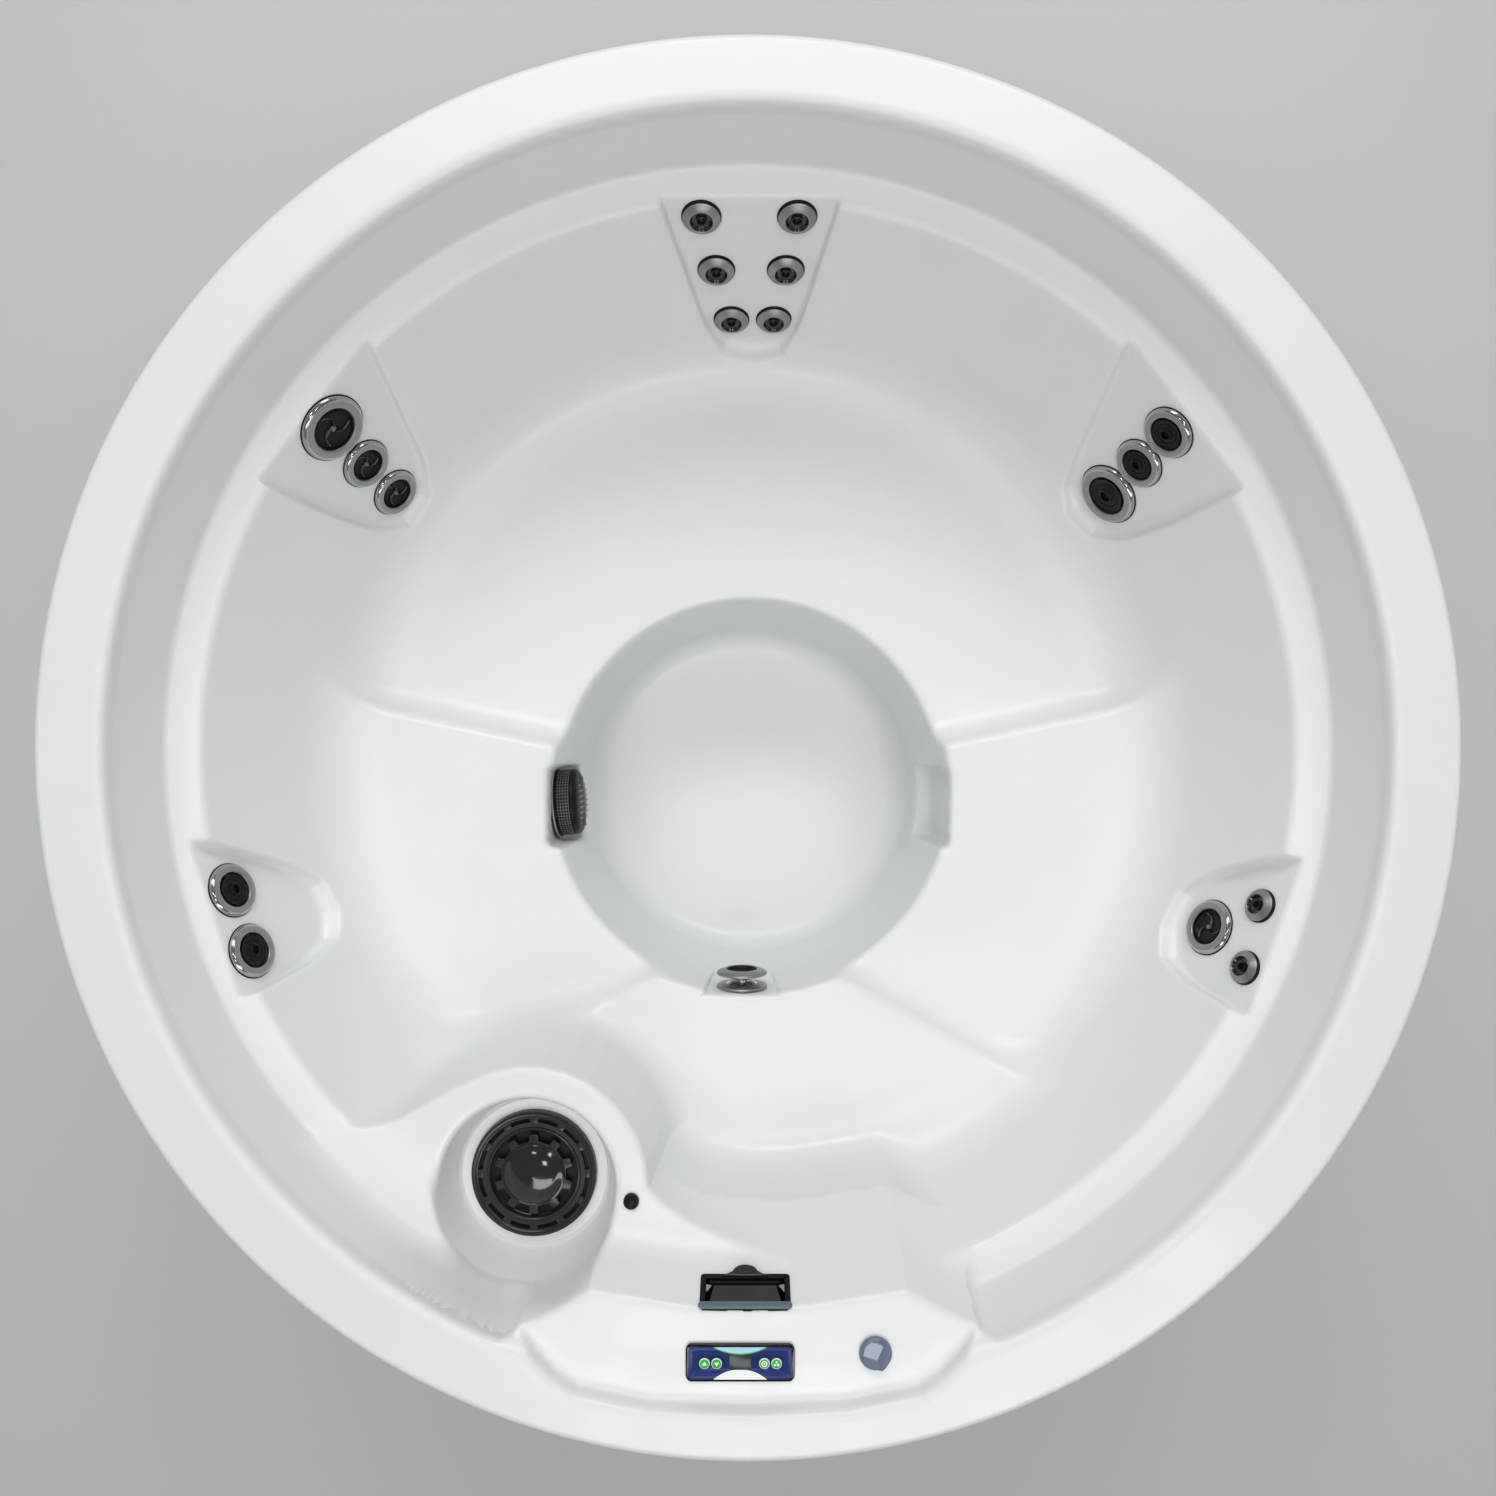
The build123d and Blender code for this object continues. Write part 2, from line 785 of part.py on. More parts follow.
def swirl_rotor(plane, radius, name):
    disc_radius = opening_share * radius - slip_gap
    floor_height = ring_foot_height
    with BuildPart() as rotor:
        add(disc(plane, disc_radius, floor_height - rotor_disc_thickness / 2, floor_height + rotor_disc_thickness / 2))
        add(disc(plane, rotor_core_radius, floor_height, floor_height + rotor_height))
        arc_radius = disc_radius / 2
        with BuildSketch(plane.offset(floor_height)):
            with PolarLocations(0, rotor_blade_count):
                with BuildLine():
                    CenterArc((arc_radius, 0), arc_radius - rotor_blade_width / 2, 0, 180)
                    Line((2 * arc_radius - rotor_blade_width / 2, 0), (2 * arc_radius - rotor_blade_width, 0))
                    CenterArc((arc_radius, 0), arc_radius - rotor_blade_width, 0, 180)
                    Line((rotor_blade_width / 2, 0), (rotor_blade_width, 0))
                make_face()
        extrude(amount=rotor_height - ring_foot_height)
    save(rotor.part, name)


def aim_nozzle(plane, radius, name):
    ball_radius = opening_share * radius - slip_gap
    pivot = plane.offset(ring_foot_height)
    cone = (
        (0, 0),
        (ball_radius - nozzle_shoulder, 0),
        (ball_radius - nozzle_shoulder, nozzle_ball_band),
        (nozzle_tip_radius, nozzle_height),
        (0, nozzle_height),
    )
    with BuildPart() as nozzle:
        with Locations(pivot):
            Sphere(ball_radius)
        add(disc(pivot, ball_radius, -nozzle_ball_band, nozzle_ball_band), mode=Mode.INTERSECT)
        add(spun(pivot, cone))
        add(disc(pivot, nozzle_bore_radius, -cut_overrun, cut_overrun), mode=Mode.SUBTRACT)
    save(nozzle.part, name)


for jet, plane, radius, kind in jets:
    if kind == "micro":
        micro_jet(plane, radius, jet)
    if kind == "swirl":
        jet_ring(plane, radius, jet + "_ring")
        swirl_rotor(plane, radius, jet + "_rotor")
    if kind == "aim":
        jet_ring(plane, radius, jet + "_ring")
        aim_nozzle(plane, radius, jet + "_nozzle")


# Footwell jet: a flanged neck on the wall and a wide nozzle turning on its end
neck_end = foot_standoff - seat_gap
save(
    spun(
        foot_jet_plane,
        (
            (foot_bore_radius, -jet_cup_length),
            (foot_neck_radius, -jet_cup_length),
            (foot_neck_radius, seat_gap),
            (foot_flange_radius, seat_gap),
            (foot_flange_radius - foot_flange_thickness / 2, foot_flange_thickness),
            (foot_neck_radius, foot_flange_thickness),
            (foot_neck_radius, neck_end),
            (foot_bore_radius, neck_end),
        ),
    ),
    "foot_jet_body",
)
nozzle_foot = foot_standoff
nozzle_end = nozzle_foot + foot_nozzle_thickness
save(
    spun(
        foot_jet_plane,
        (
            (foot_bore_radius - running_gap - slip_gap, nozzle_foot - foot_flange_thickness),
            (foot_bore_radius - running_gap, nozzle_foot - foot_flange_thickness),
            (foot_bore_radius - running_gap, nozzle_foot),
            (foot_nozzle_radius - ring_bevel, nozzle_foot),
            (foot_nozzle_radius, nozzle_foot + foot_nozzle_thickness / 2),
            (foot_nozzle_radius - ring_bevel, nozzle_end),
            (foot_nozzle_mouth_radius, nozzle_end),
            (foot_bore_radius - running_gap - slip_gap, nozzle_foot + slip_gap),
        ),
    ),
    "foot_jet_nozzle",
)

# Suction fitting: a flanged body through the wall and a domed guard
save(
    spun(
        suction_plane,
        (
            (suction_body_radius - shell_wall, -suction_body_length),
            (suction_body_radius, -suction_body_length),
            (suction_body_radius, seat_gap),
            (suction_radius, seat_gap),
            (suction_radius, suction_flange_thickness),
            (suction_body_radius - shell_wall, suction_flange_thickness),
        ),
    ),
    "suction_body",
)


def build_suction_cover():
    foot = suction_flange_thickness + seat_gap
    head = foot + suction_cover_height
    skin = suction_cover_wall
    outer = suction_radius - skin
    with BuildPart() as cover:
        profile = (
            (outer - skin, foot),
            (outer, foot),
            (outer - skin, head - suction_dome_rise),
            (outer - 2 * suction_dome_rise, head),
            (0, head + suction_dome_rise),
            (0, head + suction_dome_rise - skin),
            (outer - 2 * suction_dome_rise, head - skin),
            (outer - 2 * skin, head - suction_dome_rise - skin),
        )
        add(spun(suction_plane, profile))
        slot_z = foot + suction_cover_height / 2 - suction_dome_rise / 2
        with BuildSketch(suction_plane.offset(slot_z - suction_slot_height / 2)):
            with PolarLocations(outer - skin, suction_slot_count):
                Rectangle(suction_slot_height, suction_slot_width)
        extrude(amount=suction_slot_height, mode=Mode.SUBTRACT)
    save(cover.part, "suction_cover")


build_suction_cover()

# Filter: canister, cartridge, slotted lid and lock cap
save(
    spun(
        filter_plane,
        (
            (0, -canister_length),
            (canister_radius, -canister_length),
            (canister_radius, seat_gap),
            (canister_flange_radius, seat_gap),
            (canister_flange_radius, canister_flange_thickness),
            (canister_radius - canister_wall, canister_flange_thickness),
            (canister_radius - canister_wall, canister_wall - canister_length),
            (0, canister_wall - canister_length),
        ),
    ),
    "filter_canister",
)

cartridge_foot = canister_wall - canister_length + seat_gap
with BuildPart() as filter_cartridge:
    with BuildSketch(filter_plane.offset(cartridge_foot)):
        with BuildLine():
            pleat_points = []
            for step in range(2 * pleat_count):
                reach = cartridge_radius - (step % 2) * pleat_depth
                turn = math.pi * step / pleat_count
                pleat_points.append((reach * math.cos(turn), reach * math.sin(turn)))
            Polyline(*pleat_points, close=True)
        make_face()
        Circle(cartridge_core_radius, mode=Mode.SUBTRACT)
    extrude(amount=cartridge_length)
save(filter_cartridge.part, "filter_cartridge")

lid_foot = canister_flange_thickness + seat_gap
spigot_radius = canister_radius - canister_wall - slip_gap
with BuildPart() as filter_lid:
    add(tube_part(filter_plane, filter_lid_bore_radius, filter_lid_radius, lid_foot, lid_foot + filter_lid_thickness))
    add(tube_part(filter_plane, lid_slot_outer_radius, spigot_radius, lid_foot - filter_lid_spigot_length, lid_foot))
    slot_middle = (lid_slot_inner_radius + lid_slot_outer_radius) / 2
    with BuildSketch(filter_plane.offset(lid_foot)):
        with PolarLocations(slot_middle, lid_slot_count):
            Rectangle(lid_slot_outer_radius - lid_slot_inner_radius, lid_slot_width)
    extrude(amount=filter_lid_thickness, mode=Mode.SUBTRACT)
    floor_top = lid_foot + filter_lid_thickness - cap_plate_thickness - seat_gap
    add(tube_part(filter_plane, cartridge_core_radius, filter_lid_bore_radius, lid_foot, floor_top))
save(filter_lid.part, "filter_lid")

cap_foot = lid_foot + filter_lid_thickness - cap_plate_thickness
cap_top = cap_foot + cap_plate_thickness
with BuildPart() as filter_cap:
    with BuildSketch(filter_plane.offset(cap_foot)):
        Circle(cap_radius)
        with PolarLocations(cap_radius - cap_tooth_depth / 2, cap_tooth_count):
            Rectangle(cap_tooth_depth + seat_gap, cap_tooth_width, mode=Mode.SUBTRACT)
    extrude(amount=cap_plate_thickness)
    cap_dome = spun(
        filter_plane,
        (
            (0, cap_top - cap_plate_thickness / 2),
            (cap_dome_radius, cap_top - cap_plate_thickness / 2),
            (cap_dome_radius, cap_top + seat_gap),
            (cap_dome_radius * math.cos(math.pi / 6), cap_top + cap_dome_rise / 2),
            (cap_dome_radius / 2, cap_top + cap_dome_rise),
            (0, cap_top + cap_dome_rise),
        ),
    )
    add(cap_dome)
save(filter_cap.part, "filter_cap")

# Small fitting on the filter deck
save(
    spun(
        ozone_plane,
        (
            (0, -ozone_stem_length),
            (ozone_stem_radius, -ozone_stem_length),
            (ozone_stem_radius, seat_gap),
            (ozone_cap_radius, seat_gap),
            (ozone_cap_radius, ozone_cap_height),
            (0, ozone_cap_height),
        ),
    ),
    "ozone_fitting",
)


# Waterfall spout: a mouth let into the bank's slope, with a ramp inside and a flat duct behind
def build_spout():
    low = spout_body_height / 2 - spout_wall
    back = spout_wall - spout_depth
    ramp = (
        (low + spout_wall / 2, back - spout_wall / 2),
        (low + spout_wall / 2, -spout_wall),
        (low, -spout_wall),
        (low - spout_ramp_height, back),
        (low - spout_ramp_height, back - spout_wall / 2),
    )
    side = Plane(
        origin=spout_plane.origin - spout_plane.x_dir * (spout_body_width - spout_wall) / 2,
        x_dir=spout_plane.y_dir,
        z_dir=spout_plane.x_dir,
    )
    with BuildPart() as spout:
        with BuildSketch(spout_plane.offset(seat_gap)):
            Rectangle(spout_width, spout_mouth)
        extrude(amount=spout_flange_thickness)
        with BuildSketch(spout_plane.offset(seat_gap)):
            with Locations((0, spout_mouth / 2 + spout_nub_reach - spout_nub_radius)):
                Circle(spout_nub_radius)
        extrude(amount=spout_nub_height)
        with BuildSketch(spout_plane.offset(-spout_depth)):
            Rectangle(spout_body_width, spout_body_height)
        extrude(amount=spout_depth + seat_gap)
        with BuildSketch(spout_plane.offset(-spout_depth - spout_duct_length)):
            with Locations((0, -spout_duct_rise)):
                Rectangle(spout_duct_width, spout_duct_height)
        extrude(amount=spout_duct_length)
        with BuildSketch(spout_plane.offset(back)):
            Rectangle(spout_body_width - 2 * spout_wall, spout_body_height - 2 * spout_wall)
        extrude(amount=spout_depth + spout_nub_height, mode=Mode.SUBTRACT)
        with BuildSketch(side):
            with BuildLine():
                Polyline(*ramp, close=True)
            make_face()
        extrude(amount=spout_body_width - spout_wall)
        with BuildSketch(spout_plane.offset(-spout_depth - spout_duct_length)):
            with Locations((0, -spout_duct_rise)):
                Rectangle(spout_duct_width - 2 * spout_wall, spout_duct_height - 2 * spout_wall)
        extrude(amount=spout_duct_length + 2 * spout_wall, mode=Mode.SUBTRACT)
    save(spout.part, "waterfall_spout")


build_spout()

# Control panel: bezel with its tray, overlay and four buttons
tray_width = panel_width - 2 * panel_sink_margin
tray_depth = panel_depth - 2 * panel_sink_margin
with BuildPart() as panel_bezel:
    with BuildSketch(panel_plane.offset(seat_gap)):
        RectangleRounded(panel_width, panel_depth, panel_corner)
    extrude(amount=panel_bezel_height)
    with BuildSketch(panel_plane.offset(seat_gap - panel_tray_height)):
        Rectangle(tray_width, tray_depth)
    extrude(amount=panel_tray_height)
    with BuildSketch(panel_plane.offset(seat_gap + panel_bezel_height - 2 * overlay_thickness)):
        overlay_width = panel_width - 2 * overlay_margin
        overlay_depth = panel_depth - 2 * overlay_margin
        RectangleRounded(overlay_width + seat_gap, overlay_depth + seat_gap, panel_corner - overlay_margin)
    extrude(amount=panel_bezel_height, mode=Mode.SUBTRACT)
    with BuildSketch(panel_plane.offset(seat_gap + panel_bezel_height)):
        with Locations(*[(x, button_y_offset) for x in button_places]):
            Circle(button_radius + seat_gap)
    extrude(amount=-(panel_bezel_height + button_stem + button_travel), mode=Mode.SUBTRACT)
save(panel_bezel.part, "panel_bezel")

overlay_foot = 2 * seat_gap + panel_bezel_height - 2 * overlay_thickness
with BuildPart() as panel_overlay:
    with BuildSketch(panel_plane.offset(overlay_foot)):
        RectangleRounded(overlay_width - seat_gap, overlay_depth - seat_gap, panel_corner - overlay_margin)
        with Locations(*[(x, button_y_offset) for x in button_places]):
            Circle(button_radius + seat_gap, mode=Mode.SUBTRACT)
    extrude(amount=overlay_thickness)
save(panel_overlay.part, "panel_overlay")

button_top = overlay_foot + overlay_thickness + button_rise
for number, x in enumerate(button_places, start=1):
    with BuildPart() as panel_button:
        with BuildSketch(panel_plane.offset(button_top - button_stem)):
            with Locations((x, button_y_offset)):
                Circle(button_radius)
        extrude(amount=button_stem)
        fillet(panel_button.edges().group_by(Axis.Z)[-1], button_rise / 2)
    save(panel_button.part, "panel_button_%d" % number)

# Air control: a wedge-shaped knob on a valve body under the deck
knob_foot = air_flange_thickness + 2 * seat_gap
valve_bore = knob_shaft_radius + running_gap
save(
    spun(
        knob_plane,
        (
            (0, -air_valve_length),
            (air_valve_radius, -air_valve_length),
            (air_valve_radius, seat_gap),
            (air_flange_radius, seat_gap),
            (air_flange_radius, seat_gap + air_flange_thickness),
            (valve_bore, seat_gap + air_flange_thickness),
            (valve_bore, -knob_shaft_length - slip_gap),
            (0, -knob_shaft_length - slip_gap),
        ),
    ),
    "air_valve",
)
with BuildPart() as air_knob:
    add(disc(knob_plane, knob_skirt_radius, knob_foot, knob_foot + knob_skirt_height))
    add(disc(knob_plane, knob_grip_radius, knob_foot, knob_foot + knob_skirt_height + knob_grip_height))
    add(disc(knob_plane, knob_shaft_radius, -knob_shaft_length, knob_foot))
    grip_foot = knob_foot + knob_skirt_height
    for turn in (0, 120, 240):
        flank = Vector(knob_grip_radius * (1 + knob_cut_share), 0).rotate(Axis.Z, turn)
        with BuildSketch(place_on(knob_plane, (flank.X, flank.Y), grip_foot)):
            Circle(knob_grip_radius)
        extrude(amount=knob_grip_height, mode=Mode.SUBTRACT)
save(air_knob.part, "air_knob")

# Base pan with a ring that carries the footwell
with BuildPart() as base_pan:
    add(disc(Plane.XY, base_radius, 0, base_thickness))
    ring_plane = Plane(origin=(0, footwell_floor_shift_y, 0))
    ring_outer = footwell_floor_radius - base_ring_width
    ring_top = floor_z - shell_wall - seat_gap
    add(tube_part(ring_plane, ring_outer - base_ring_width, ring_outer, 0, ring_top))
save(base_pan.part, "base_pan")

# Cabinet wall with its slats, and the access opening at the front
cabinet_foot = base_thickness + seat_gap
cabinet_top = rim_z - shell_wall - seat_gap
drain_direction = Vector(1, 0, 0).rotate(Axis.Z, drain_azimuth)
drain_origin = drain_direction * cabinet_radius + Vector(0, 0, drain_height)
drain_plane = Plane(origin=drain_origin, x_dir=drain_direction.rotate(Axis.Z, 90), z_dir=drain_direction)
gland_direction = Vector(1, 0, 0).rotate(Axis.Z, gland_azimuth)
gland_origin = gland_direction * cabinet_radius + Vector(0, 0, drain_height)
gland_plane = Plane(origin=gland_origin, x_dir=gland_direction.rotate(Axis.Z, 90), z_dir=gland_direction)
opening_plane = Plane(origin=(0, 0, (access_sill_height + access_top_height) / 2), x_dir=(1, 0, 0), z_dir=(0, -1, 0))
opening_height = access_top_height - access_sill_height


def slatted_ring(foot, top):
    with BuildPart() as ring:
        add(tube_part(Plane.XY, cabinet_radius - cabinet_wall, cabinet_radius, foot, top))
        with BuildSketch(Plane.XY.offset(foot)):
            with PolarLocations(cabinet_radius, slat_count):
                Rectangle(2 * groove_depth, groove_width)
        extrude(amount=top - foot, mode=Mode.SUBTRACT)
    return ring.part


with BuildPart() as cabinet:
    add(slatted_ring(cabinet_foot, cabinet_top))
    with BuildSketch(opening_plane):
        Rectangle(2 * access_half_width, opening_height)
    extrude(amount=base_radius + cut_overrun, mode=Mode.SUBTRACT)
    add(disc(drain_plane, drain_radius + slip_gap, -3 * cut_overrun, cut_overrun), mode=Mode.SUBTRACT)
    add(disc(gland_plane, gland_radius + slip_gap, -3 * cut_overrun, cut_overrun), mode=Mode.SUBTRACT)
save(cabinet.part, "cabinet")

screw_reach = access_half_width - screw_inset
screw_rise = opening_height / 2 - screw_inset
screw_turn = math.asin(screw_reach / cabinet_radius)
screw_planes = []
for side in (-1, 1):
    for level in (-1, 1):
        outward = Vector(side * math.sin(screw_turn), -math.cos(screw_turn), 0)
        head_at = outward * cabinet_radius + Vector(0, 0, opening_plane.origin.Z + level * screw_rise)
        screw_planes.append(Plane(origin=head_at, x_dir=(0, 0, 1), z_dir=outward))

with BuildPart() as access_panel:
    add(slatted_ring(access_sill_height + seat_gap, access_top_height - access_gap))
    with BuildSketch(opening_plane):
        Rectangle(2 * (access_half_width - access_gap), opening_height)
    extrude(amount=base_radius + cut_overrun, mode=Mode.INTERSECT)
    for plane in screw_planes:
        add(disc(plane, screw_head_radius + slip_gap, -groove_depth, cut_overrun), mode=Mode.SUBTRACT)
        add(disc(plane, screw_shank_radius + slip_gap, -2 * cut_overrun, cut_overrun), mode=Mode.SUBTRACT)
save(access_panel.part, "access_panel")

with BuildPart() as panel_screws:
    for plane in screw_planes:
        head_foot = -groove_depth + seat_gap
        add(disc(plane, screw_head_radius, head_foot, head_foot + screw_head_height))
        add(disc(plane, screw_shank_radius, -cabinet_wall, head_foot))
save(panel_screws.part, "panel_screws")

# Pump: wet end, motor and impeller on one shaft, lying along X
pump_z = pump_floor + pump_axis_height
pump_plane = Plane(origin=(pump_x, pump_y, pump_z), x_dir=(0, 1, 0), z_dir=(1, 0, 0))


def foot_block(start_x, length):
    """A foot from the floor up into the round body that it carries."""
    with BuildPart() as foot:
        with BuildSketch(Plane.XY.offset(pump_floor)):
            with Locations((start_x + length / 2, pump_y)):
                Rectangle(length, pump_foot_width)
        extrude(amount=pump_axis_height - motor_radius / 2)
    return foot.part


with BuildPart() as pump_wet_end:
    add(disc(pump_plane, wet_end_radius, -wet_end_length, 0))
    add(foot_block(pump_x - wet_end_length, wet_end_length))
    inner_length = wet_end_length - 2 * wet_end_wall
    add(disc(pump_plane, wet_end_radius - wet_end_wall, -wet_end_wall - inner_length, -wet_end_wall), mode=Mode.SUBTRACT)
    add(disc(pump_plane, shaft_radius + running_gap, -wet_end_wall - cut_overrun, cut_overrun), mode=Mode.SUBTRACT)
    port = wet_end_length + cut_overrun
    add(tube_part(pump_plane, suction_port_radius - pipe_wall, suction_port_radius, -port, -wet_end_length + wet_end_wall))
    bore = suction_port_radius - pipe_wall
    add(disc(pump_plane, bore, -port - cut_overrun, -wet_end_length + 2 * wet_end_wall), mode=Mode.SUBTRACT)
save(pump_wet_end.part, "pump_wet_end")

with BuildPart() as pump_motor:
    add(disc(pump_plane, motor_radius, seat_gap, motor_length))
    add(foot_block(pump_x + motor_length / 2, motor_length / 3))
    add(disc(pump_plane, shaft_radius + running_gap, -cut_overrun, motor_length / 2 + slip_gap), mode=Mode.SUBTRACT)
save(pump_motor.part, "pump_motor")

with BuildPart() as pump_impeller:
    impeller_back = -2 * wet_end_wall
    add(disc(pump_plane, impeller_radius, impeller_back - impeller_thickness, impeller_back))
    add(disc(pump_plane, shaft_radius, impeller_back, motor_length / 2))
    with BuildSketch(pump_plane.offset(impeller_back - impeller_thickness)):
        with PolarLocations(impeller_radius * impeller_vane_share, impeller_vane_count):
            Rectangle(impeller_radius / 2, shaft_radius)
    extrude(amount=impeller_thickness / 2, mode=Mode.SUBTRACT)
save(pump_impeller.part, "pump_impeller")

# Control box and heater
with BuildPart() as control_box:
    with BuildSketch(Plane.XY.offset(pump_floor)):
        with Locations(control_box_place):
            Rectangle(control_box_size[0], control_box_size[1])
    extrude(amount=control_box_size[2])
    with BuildSketch(Plane.XY.offset(pump_floor + control_box_wall)):
        with Locations(control_box_place):
            Rectangle(control_box_size[0] - 2 * control_box_wall, control_box_size[1] - 2 * control_box_wall)
    extrude(amount=control_box_size[2] - 2 * control_box_wall, mode=Mode.SUBTRACT)
save(control_box.part, "control_box")

heater_y = control_box_place[1] - control_box_size[1] / 2 - heater_radius - seat_gap
heater_plane = Plane(origin=(heater_start_x, heater_y, pump_floor + heater_height), x_dir=(0, 1, 0), z_dir=(1, 0, 0))
save(tube_part(heater_plane, heater_radius - pipe_wall, heater_radius, 0, heater_length), "heater_tube")


# Plumbing: manifold blocks behind the facets, the ring main and two pipes
def manifold_block(plane, radii_and_places):
    reach = [abs(place[0]) + nut_share * radius for radius, place in radii_and_places]
    half_width = max(reach) - manifold_margin
    top = max(place[1] for radius, place in radii_and_places) + manifold_margin
    foot_slope = (manifold_foot_depth - ledge_depth) * math.sqrt(1 + facet_lean_share ** 2)
    with BuildPart() as block:
        with BuildSketch(plane.offset(-jet_cup_length - seat_gap)):
            with Locations((0, (top - foot_slope) / 2)):
                Rectangle(2 * half_width, top + foot_slope)
        extrude(amount=-manifold_thickness)
    return block.part


def round_pipe(points, bends, radius):
    with BuildPart() as pipe:
        with BuildLine() as path:
            FilletPolyline(*points, radius=bends)
        with BuildSketch(Plane(origin=path.line @ 0, z_dir=path.line % 0)):
            Circle(radius)
            Circle(radius - pipe_wall, mode=Mode.SUBTRACT)
        sweep()
    return pipe.part


manifold_sets = {
    "back": [(micro_ring_radius, place) for place in back_micro_places],
    "upper_left": [(medium_ring_radius, place) for place in upper_left_places],
    "upper_right": [(medium_ring_radius, place) for place in upper_right_places],
    "lower_left": [(medium_ring_radius, place) for place in lower_left_places],
    "lower_right": [(lower_micro_ring_radius, place) for place in lower_micro_places],
}
ring_main_z = tub_height - manifold_foot_depth
ring_start = Vector(ring_main_radius, 0, ring_main_z).rotate(Axis.Z, ring_main_start)
ring_end = Vector(ring_main_radius, 0, ring_main_z).rotate(Axis.Z, ring_main_end)
end_heading = Vector(0, 1, 0).rotate(Axis.Z, ring_main_end)
return_join = ring_end + end_heading * (2 * pipe_bend + ring_main_pipe_radius)
heater_level = pump_floor + heater_height
return_route = (
    (heater_start_x - seat_gap, heater_y, heater_level),
    (return_bend_place[0], return_bend_place[1], heater_level),
    (return_bend_place[0], return_bend_place[1], return_bend_height),
    (return_turn_place[0], return_turn_place[1], ring_main_z),
    (return_join.X, return_join.Y, ring_main_z),
    (ring_end.X, ring_end.Y, ring_main_z),
)
outlet_x = pump_x - wet_end_length / 2
outlet_z = pump_z + wet_end_radius + seat_gap
outlet_route = (
    (outlet_x, pump_y, outlet_z),
    (outlet_x, pump_y, riser_height),
    (riser_place[0], riser_place[1], riser_height),
    (riser_place[0], riser_place[1], heater_level),
    (heater_start_x + heater_length + seat_gap, heater_y, heater_level),
)
inlet_x = pump_x - wet_end_length - cut_overrun - seat_gap
suction_back_x = suction_wall_x - suction_body_length - seat_gap
inlet_route = (
    (inlet_x, pump_y, pump_z),
    *[(x, y, z + pump_z - suction_route[0][2]) for x, y, z in suction_route],
    (suction_turn_x, side_recess_y, tub_height - suction_depth),
    (suction_back_x, side_recess_y, tub_height - suction_depth),
)
foot_level = tub_height - foot_jet_depth
foot_pipe_points = (
    (foot_jet_x, foot_wall_y - jet_cup_length - seat_gap, foot_level),
    (foot_pipe_route[0][0], foot_pipe_route[0][1], foot_level),
    (foot_pipe_route[1][0], foot_pipe_route[1][1], riser_height),
    (riser_place[0], riser_place[1], riser_height),
)
with BuildPart() as plumbing:
    for name, places in manifold_sets.items():
        add(manifold_block(facets[name][0], places))
    with BuildSketch(Plane(origin=ring_start, z_dir=Vector(0, 1, 0).rotate(Axis.Z, ring_main_start))):
        Circle(ring_main_pipe_radius)
    with BuildLine() as ring_path:
        CenterArc((0, 0, ring_main_z), ring_main_radius, ring_main_start, ring_main_end - ring_main_start)
    sweep(path=ring_path.line)
    add(round_pipe(return_route, pipe_bend, ring_main_pipe_radius))
    add(round_pipe(outlet_route, pipe_bend, ring_main_pipe_radius))
    add(round_pipe(foot_pipe_points, pipe_bend, foot_pipe_radius))
    add(round_pipe(inlet_route, pipe_bend, pipe_radius))
save(plumbing.part, "plumbing")

# Drain valve with its cap, and the power gland
save(
    spun(
        drain_plane,
        (
            (0, -cabinet_wall - drain_stub_length),
            (drain_radius, -cabinet_wall - drain_stub_length),
            (drain_radius, seat_gap),
            (drain_flange_radius, seat_gap),
            (drain_flange_radius, drain_flange_thickness),
            (drain_radius, drain_flange_thickness),
            (drain_radius, drain_flange_thickness + drain_stub_length),
            (0, drain_flange_thickness + drain_stub_length),
        ),
    ),
    "drain_valve",
)
cap_bottom = drain_flange_thickness + seat_gap
cap_end = cap_bottom + drain_cap_length
save(
    spun(
        drain_plane,
        (
            (drain_radius + running_gap, cap_bottom),
            (drain_cap_radius, cap_bottom),
            (drain_cap_radius, cap_end),
            (0, cap_end),
            (0, cap_end - pipe_wall),
            (drain_radius + running_gap, cap_end - pipe_wall),
        ),
    ),
    "drain_cap",
)
save(
    spun(
        gland_plane,
        (
            (0, -cabinet_wall - gland_stub_length),
            (gland_radius, -cabinet_wall - gland_stub_length),
            (gland_radius, seat_gap),
            (gland_nut_radius, seat_gap),
            (gland_nut_radius, seat_gap + gland_nut_thickness),
            (gland_radius, seat_gap + gland_nut_thickness + gland_stub_length / 2),
            (0, seat_gap + gland_nut_thickness + gland_stub_length / 2),
        ),
    ),
    "power_gland",
)
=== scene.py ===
import math

import bpy
import numpy as np
from bpy.props import FloatProperty, FloatVectorProperty, IntProperty, PointerProperty
from mathutils import Matrix, Vector


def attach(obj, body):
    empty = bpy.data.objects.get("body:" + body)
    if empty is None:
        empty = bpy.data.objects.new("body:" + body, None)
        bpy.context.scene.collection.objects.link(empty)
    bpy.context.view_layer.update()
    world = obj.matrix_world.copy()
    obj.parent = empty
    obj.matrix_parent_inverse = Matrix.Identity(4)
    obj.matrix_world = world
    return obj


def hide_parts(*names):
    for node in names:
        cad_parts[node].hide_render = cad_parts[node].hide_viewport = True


bl_info = {
    "name": "Round hot tub",
    "version": (1, 0, 0),
    "blender": (4, 5, 0),
    "location": "3D View > Sidebar > Hot tub",
    "description": "Dresses the hot tub's solids with its moulded shell, fittings and finishes",
    "category": "Object",
}

